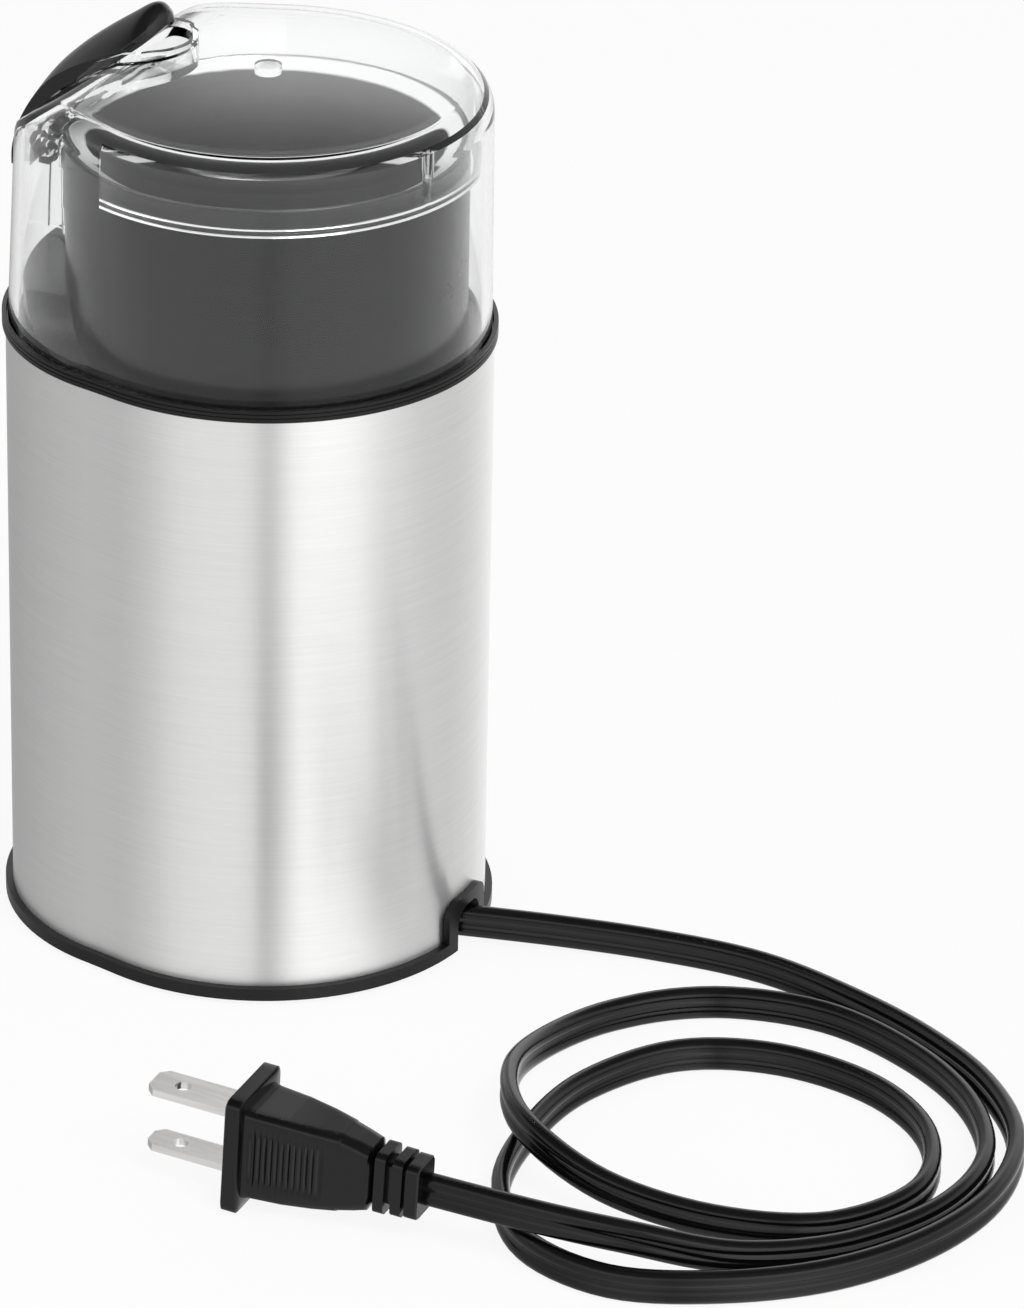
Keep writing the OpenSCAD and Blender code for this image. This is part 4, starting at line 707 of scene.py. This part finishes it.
# Skin of the lid, moved in by inset: a leaning wall, a round shoulder and a crown that falls with the square
# of the distance, all held under the slope by a soft minimum
def lidSkin(inset, settings, slope):
    rise = np.linspace(0, 1, settings["wallSteps"])
    turn = np.radians(np.linspace(0, 90, settings["cornerSteps"]))[1:]
    inward = np.linspace(1, settings["crownEnd"], settings["crownSteps"])[1:]
    corner = settings["corner"] - inset
    foot = settings["foot"] - (settings["spare"] if inset else 0.0)
    columns = []
    for end, lean in (("cupEnd", "cupLean"), ("leverEnd", "leverLean")):
        base = settings[end] - inset
        top = base - settings[lean] - corner
        wall = base - settings[lean] * rise
        columns.append(np.concatenate([wall, top + corner * np.cos(turn), top * inward]))
    heights = np.concatenate([foot + (settings["shoulder"] - foot) * rise,
                              settings["shoulder"] + corner * np.sin(turn),
                              settings["shoulder"] + corner + settings["crown"] * (1 - inward ** 2)])
    rings = outlineRings(*columns, heights, settings)
    line = np.array(slope) + inset * np.array(settings["slopeInset"])
    limit = np.interp(rings[..., 0], line[:, 0], line[:, 1])
    gap = rings[..., 2] - limit
    low = (rings[..., 2] + limit - np.sqrt(gap ** 2 + settings["slopeBlend"] ** 2)) / 2
    rings[..., 2] = np.where(gap > -settings["blendReach"] * settings["slopeBlend"], low, rings[..., 2])
    return rings


# Solid for cutting, in mm, with its faces turned outwards
def rawSolid(rings):
    solid = ringSolid("raw", rings)
    bpy.context.view_layer.objects.active = solid
    solid.select_set(True)
    bpy.ops.object.mode_set(mode="EDIT")
    bpy.ops.mesh.select_all(action="SELECT")
    bpy.ops.mesh.normals_make_consistent(inside=False)
    bpy.ops.object.mode_set(mode="OBJECT")
    return solid


# The solid over an outline, for cutting
def prism(outline, low, high, upright=False):
    return rawSolid(prismRings(outline, low, high, upright))


# Cuts the other solid out of the base, or joins them or keeps what both hold, and removes the other
def carve(base, other, operation="DIFFERENCE"):
    cut = base.modifiers.new("cut", "BOOLEAN")
    cut.operation = operation
    cut.solver = "EXACT"
    cut.object = other
    mesh = bpy.data.meshes.new_from_object(base.evaluated_get(bpy.context.evaluated_depsgraph_get()))
    base.modifiers.clear()
    base.data = mesh
    bpy.data.objects.remove(other)
    return base


# Plan of the well, larger by grow: straight sides and a round end at the lever's tip
def wellPlan(grow, back, settings):
    half, end = settings["wellHalf"] + grow, settings["wellEnd"] + grow
    arc = discOutline((end - half, 0.0), half, settings["wellSteps"], *settings["wellArc"])
    return np.vstack([arc, [[back, half], [back, -half]]])


# Solid that cuts the well for the lever, larger by grow: a side outline over the well's floor, held to the
# plan, and a narrow part that reaches lower at the lever's tail
def lidWell(grow, settings, floorLine):
    back, top = settings["wellBack"], settings["overWell"]
    tip = settings["wellEnd"] + 2 * grow
    floor = [(x + grow, z - grow) for x, z in floorLine]
    side = [(back, top), (tip, top), (tip, floorLine[0][1] + settings["wellLip"] - grow)] + floor \
        + [(back, floor[-1][1])]
    reach = settings["wellHalf"] + 2 * grow + settings["spare"]
    well = prism(side, -reach, reach)
    carve(well, prism(wellPlan(grow, back, settings), settings["wellFoot"] - grow, top, True), "INTERSECT")
    tail = boxOutline((back, settings["tailInner"] + grow), (settings["tailFoot"] - grow, top))
    half = settings["tailHalf"] + grow
    return carve(well, prism(tail, -half, half), "UNION")


# Skirt inside the lid: its section, with a bead along its round lower edge, swept over part of a turn
def cuffSolid(settings):
    inner, outer, foot, edge = (settings[key] for key in ("cuffInner", "cuffOuter", "cuffFoot", "cuffRound"))
    bend = np.radians(np.linspace(180, 270, settings["beadSteps"]))
    bead = inner - settings["beadDepth"]
    beadTop = foot + settings["beadHigh"]
    top = settings["overLid"]
    reach = np.concatenate([[inner, inner, bead], bead + edge + edge * np.cos(bend), [outer, outer]])
    height = np.concatenate([[top, beadTop + settings["beadDepth"], beadTop],
                             foot + edge + edge * np.sin(bend), [foot, top]])
    angle = settings["cuffAngle"]
    turn = np.radians(np.linspace(-angle, angle, settings["cuffSteps"]))[:, None]
    return rawSolid(np.stack([settings["cupX"] + reach * np.cos(turn), reach * np.sin(turn),
                              height + 0 * turn], axis=-1))


# Raised rim round the well's end, as high as its outline and as wide as the well with its wall
def lidRim(settings, outline):
    rim = prism(outline, -settings["rimHalf"], settings["rimHalf"])
    plan = wellPlan(settings["wellWall"], settings["rimBack"], settings)
    return carve(rim, prism(plan, settings["rimFoot"], settings["overLid"], True), "INTERSECT")


# The lid's hollow, less what stands in it: the mark, the skirt, the well's wall, and the rod's guide with
# its web to the wall
def lidHollow(settings, slope, floorLine, rod):
    hollow = rawSolid(lidSkin(settings["wall"], settings, slope))
    mark = discOutline(settings["markPlace"], settings["markRadius"], settings["markSteps"])
    carve(hollow, prism(mark, settings["markFoot"], settings["overLid"], True))
    carve(hollow, cuffSolid(settings))
    carve(hollow, lidWell(settings["wellWall"], settings, floorLine))
    guide = discOutline(rod, settings["guideOuter"], settings["guideSteps"])
    heights = (settings["guideFoot"], settings["guideTop"])
    carve(hollow, prism(guide, *heights, True))
    web = boxOutline(settings["webX"], heights)
    return carve(hollow, prism(web, -settings["webHalf"], settings["webHalf"]))


# The skin and its rim, less the well, the hollow, the bore for the rod and the slot for the lever's finger
def addLid(settings, slope, floorLine, outline):
    rod = (settings["rodX"], 0.0)
    rim = lidRim(settings, outline)
    lid = carve(rawSolid(lidSkin(0.0, settings, slope)), rim, "UNION")
    hollow = lidHollow(settings, slope, floorLine, rod)
    carve(lid, lidWell(0.0, settings, floorLine))
    carve(lid, hollow)
    bore = discOutline(rod, settings["guideBore"], settings["boreSteps"])
    spare = settings["spare"]
    carve(lid, prism(bore, settings["guideFoot"] - spare, settings["guideTop"] + spare, True))
    slot = boxOutline(settings["slotX"], settings["slotZ"])
    carve(lid, prism(slot, -settings["slotHalf"], settings["slotHalf"]))
    lid.name = "clearLid"
    lid.data.transform(Matrix.Scale(mm, 4))
    lid.data.materials.clear()
    lid.data.materials.append(materials["clear_plastic"])
    smoothen(lid, settings["smooth"])
    roundEdges(lid, settings["edge"], settings["edgeAngle"])
    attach(lid, "lid")
    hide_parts("lid_shell")
    return lid


lidPiece = addLid(lidSettings, lidSlope, wellFloor, rimOutline)
print("lid made, faces:", len(lidPiece.data.polygons))


# Floor and light
lightSettings = {
    "floorHalf": 6.0,  # metres
    "floorWhite": 0.9,  # share of plain white where the floor is seen
    "floorTone": 0.85,  # and its tone under light
    "worldFill": 0.5,  # strength of the world's light on dull surfaces
    "lampTarget": (0.0, 0.0, 0.1),
}
# Each lamp: its name, place and side in metres, and power in watts
lamps = [("keyLamp", (1.1, -0.7, 1.6), 1.0, 20.0), ("fillLamp", (-1.3, -0.9, 1.1), 1.2, 7.0)]


# One square face. The camera sees mostly plain white there, also through the lid, mixed with a dull surface
# that takes shadows. Light from the lamps meets the dull surface, and the pieces don't mirror the floor
def addFloor(settings):
    ends = (-settings["floorHalf"], settings["floorHalf"])
    mesh = bpy.data.meshes.new("floor")
    mesh.from_pydata([(x, y, 0) for x, y in boxOutline(ends, ends)], [], [(0, 1, 2, 3)])
    floor = bpy.data.objects.new("floor", mesh)
    bpy.context.scene.collection.objects.link(floor)
    material, paint = newMaterial("floorWhite")
    dull = paint.wire(paint.node("ShaderNodeBsdfDiffuse", Color=even(settings["floorTone"])))
    bright = paint.wire(paint.node("ShaderNodeEmission", Color=even(1), Strength=1.0))
    rays = paint.node("ShaderNodeLightPath")
    seen = paint.wire(rays, "Is Camera Ray") + paint.wire(rays, "Is Glossy Ray") \
        + paint.wire(rays, "Is Transmission Ray")
    paint.finish(paint.mixShader(seen.clamped() * settings["floorWhite"], dull, bright))
    mesh.materials.append(material)
    floor.visible_glossy = False


# World: white where it is seen, an even fill on dull surfaces, and in gloss a soft band of tones. Each stop
# is an angle about the vertical in degrees, none towards the camera and more to its right, and a strength
glossBand = [(-180, 1.0), (-170, 0.5), (-150, 0.38), (-120, 0.44), (-97, 0.5), (-75, 0.54), (-60, 0.66),
             (-50, 0.8), (-38, 0.84), (-7, 0.86), (-1, 0.6), (5, 0.6), (10, 0.86), (18, 1.12), (30, 1.22),
             (46, 1.2), (58, 1.08), (70, 0.84), (84, 0.7), (108, 0.64), (125, 0.72), (140, 0.84), (160, 1.0),
             (180, 1.0)]
# Share of the band at each height, which is the sine of the angle over the horizon
heightBand = [(-1.0, 1.0), (0.1, 1.0), (0.3, 1.5), (0.5, 1.5), (0.66, 0.35), (1.0, 0.25)]


def lightWorld(settings, band, heights):
    world = bpy.data.worlds.new("studio")
    bpy.context.scene.world = world
    world.use_nodes = True
    paint = Paint(world.node_tree)
    way = paint.wire(paint.node("ShaderNodeTexCoord"), "Generated")
    toRight = paint.dot(way, tuple(rightWay))
    toFront = paint.dot(way, (-lookWay[0], -lookWay[1], 0.0))
    turn = toRight.maths("ARCTAN2", toRight, toFront)
    top = max(strength for angle, strength in band)
    stops = [((angle + 180) / 360, strength / top) for angle, strength in band]
    gloss = paint.wire(paint.node("ShaderNodeValToRGB", {"stops": stops}, Fac=turn / (2 * math.pi) + 0.5))
    stops = [((sine + 1) / 2, share) for sine, share in heights]
    fall = paint.wire(paint.node("ShaderNodeValToRGB", {"stops": stops},
                                 Fac=paint.dot(way, (0, 0, 1)) / 2 + 0.5))
    bright = paint.node("ShaderNodeVectorMath", {"operation": "SCALE"}, n0=gloss, Scale=fall * top)
    rays = paint.node("ShaderNodeLightPath")
    seen = (paint.wire(rays, "Is Camera Ray") + paint.wire(rays, "Is Transmission Ray")).clamped()
    glossy = paint.wire(rays, "Is Glossy Ray")
    shown = paint.mixColour(glossy, even(settings["worldFill"]), paint.wire(bright))
    final = paint.mixColour(seen, shown, even(1))
    background = paint.wire(paint.node("ShaderNodeBackground", Color=final, Strength=1.0))
    paint.node("ShaderNodeOutputWorld", Surface=background)


# Square lamp that shines at its target and isn't seen in gloss
def addLamp(name, place, target, side, power):
    data = bpy.data.lights.new(name, "AREA")
    data.size = side
    data.energy = power
    lamp = bpy.data.objects.new(name, data)
    lamp.visible_glossy = False
    bpy.context.scene.collection.objects.link(lamp)
    ahead = unit(np.subtract(target, place))
    right = unit(np.cross(ahead, [0, 0, 1.0]))
    lamp.matrix_world = aimed(place, right, np.cross(right, ahead), ahead)


addFloor(lightSettings)
lightWorld(lightSettings, glossBand, heightBand)
for name, place, side, power in lamps:
    addLamp(name, place, lightSettings["lampTarget"], side, power)
bpy.context.scene.view_settings.view_transform = "Standard"
print("floor and light made")
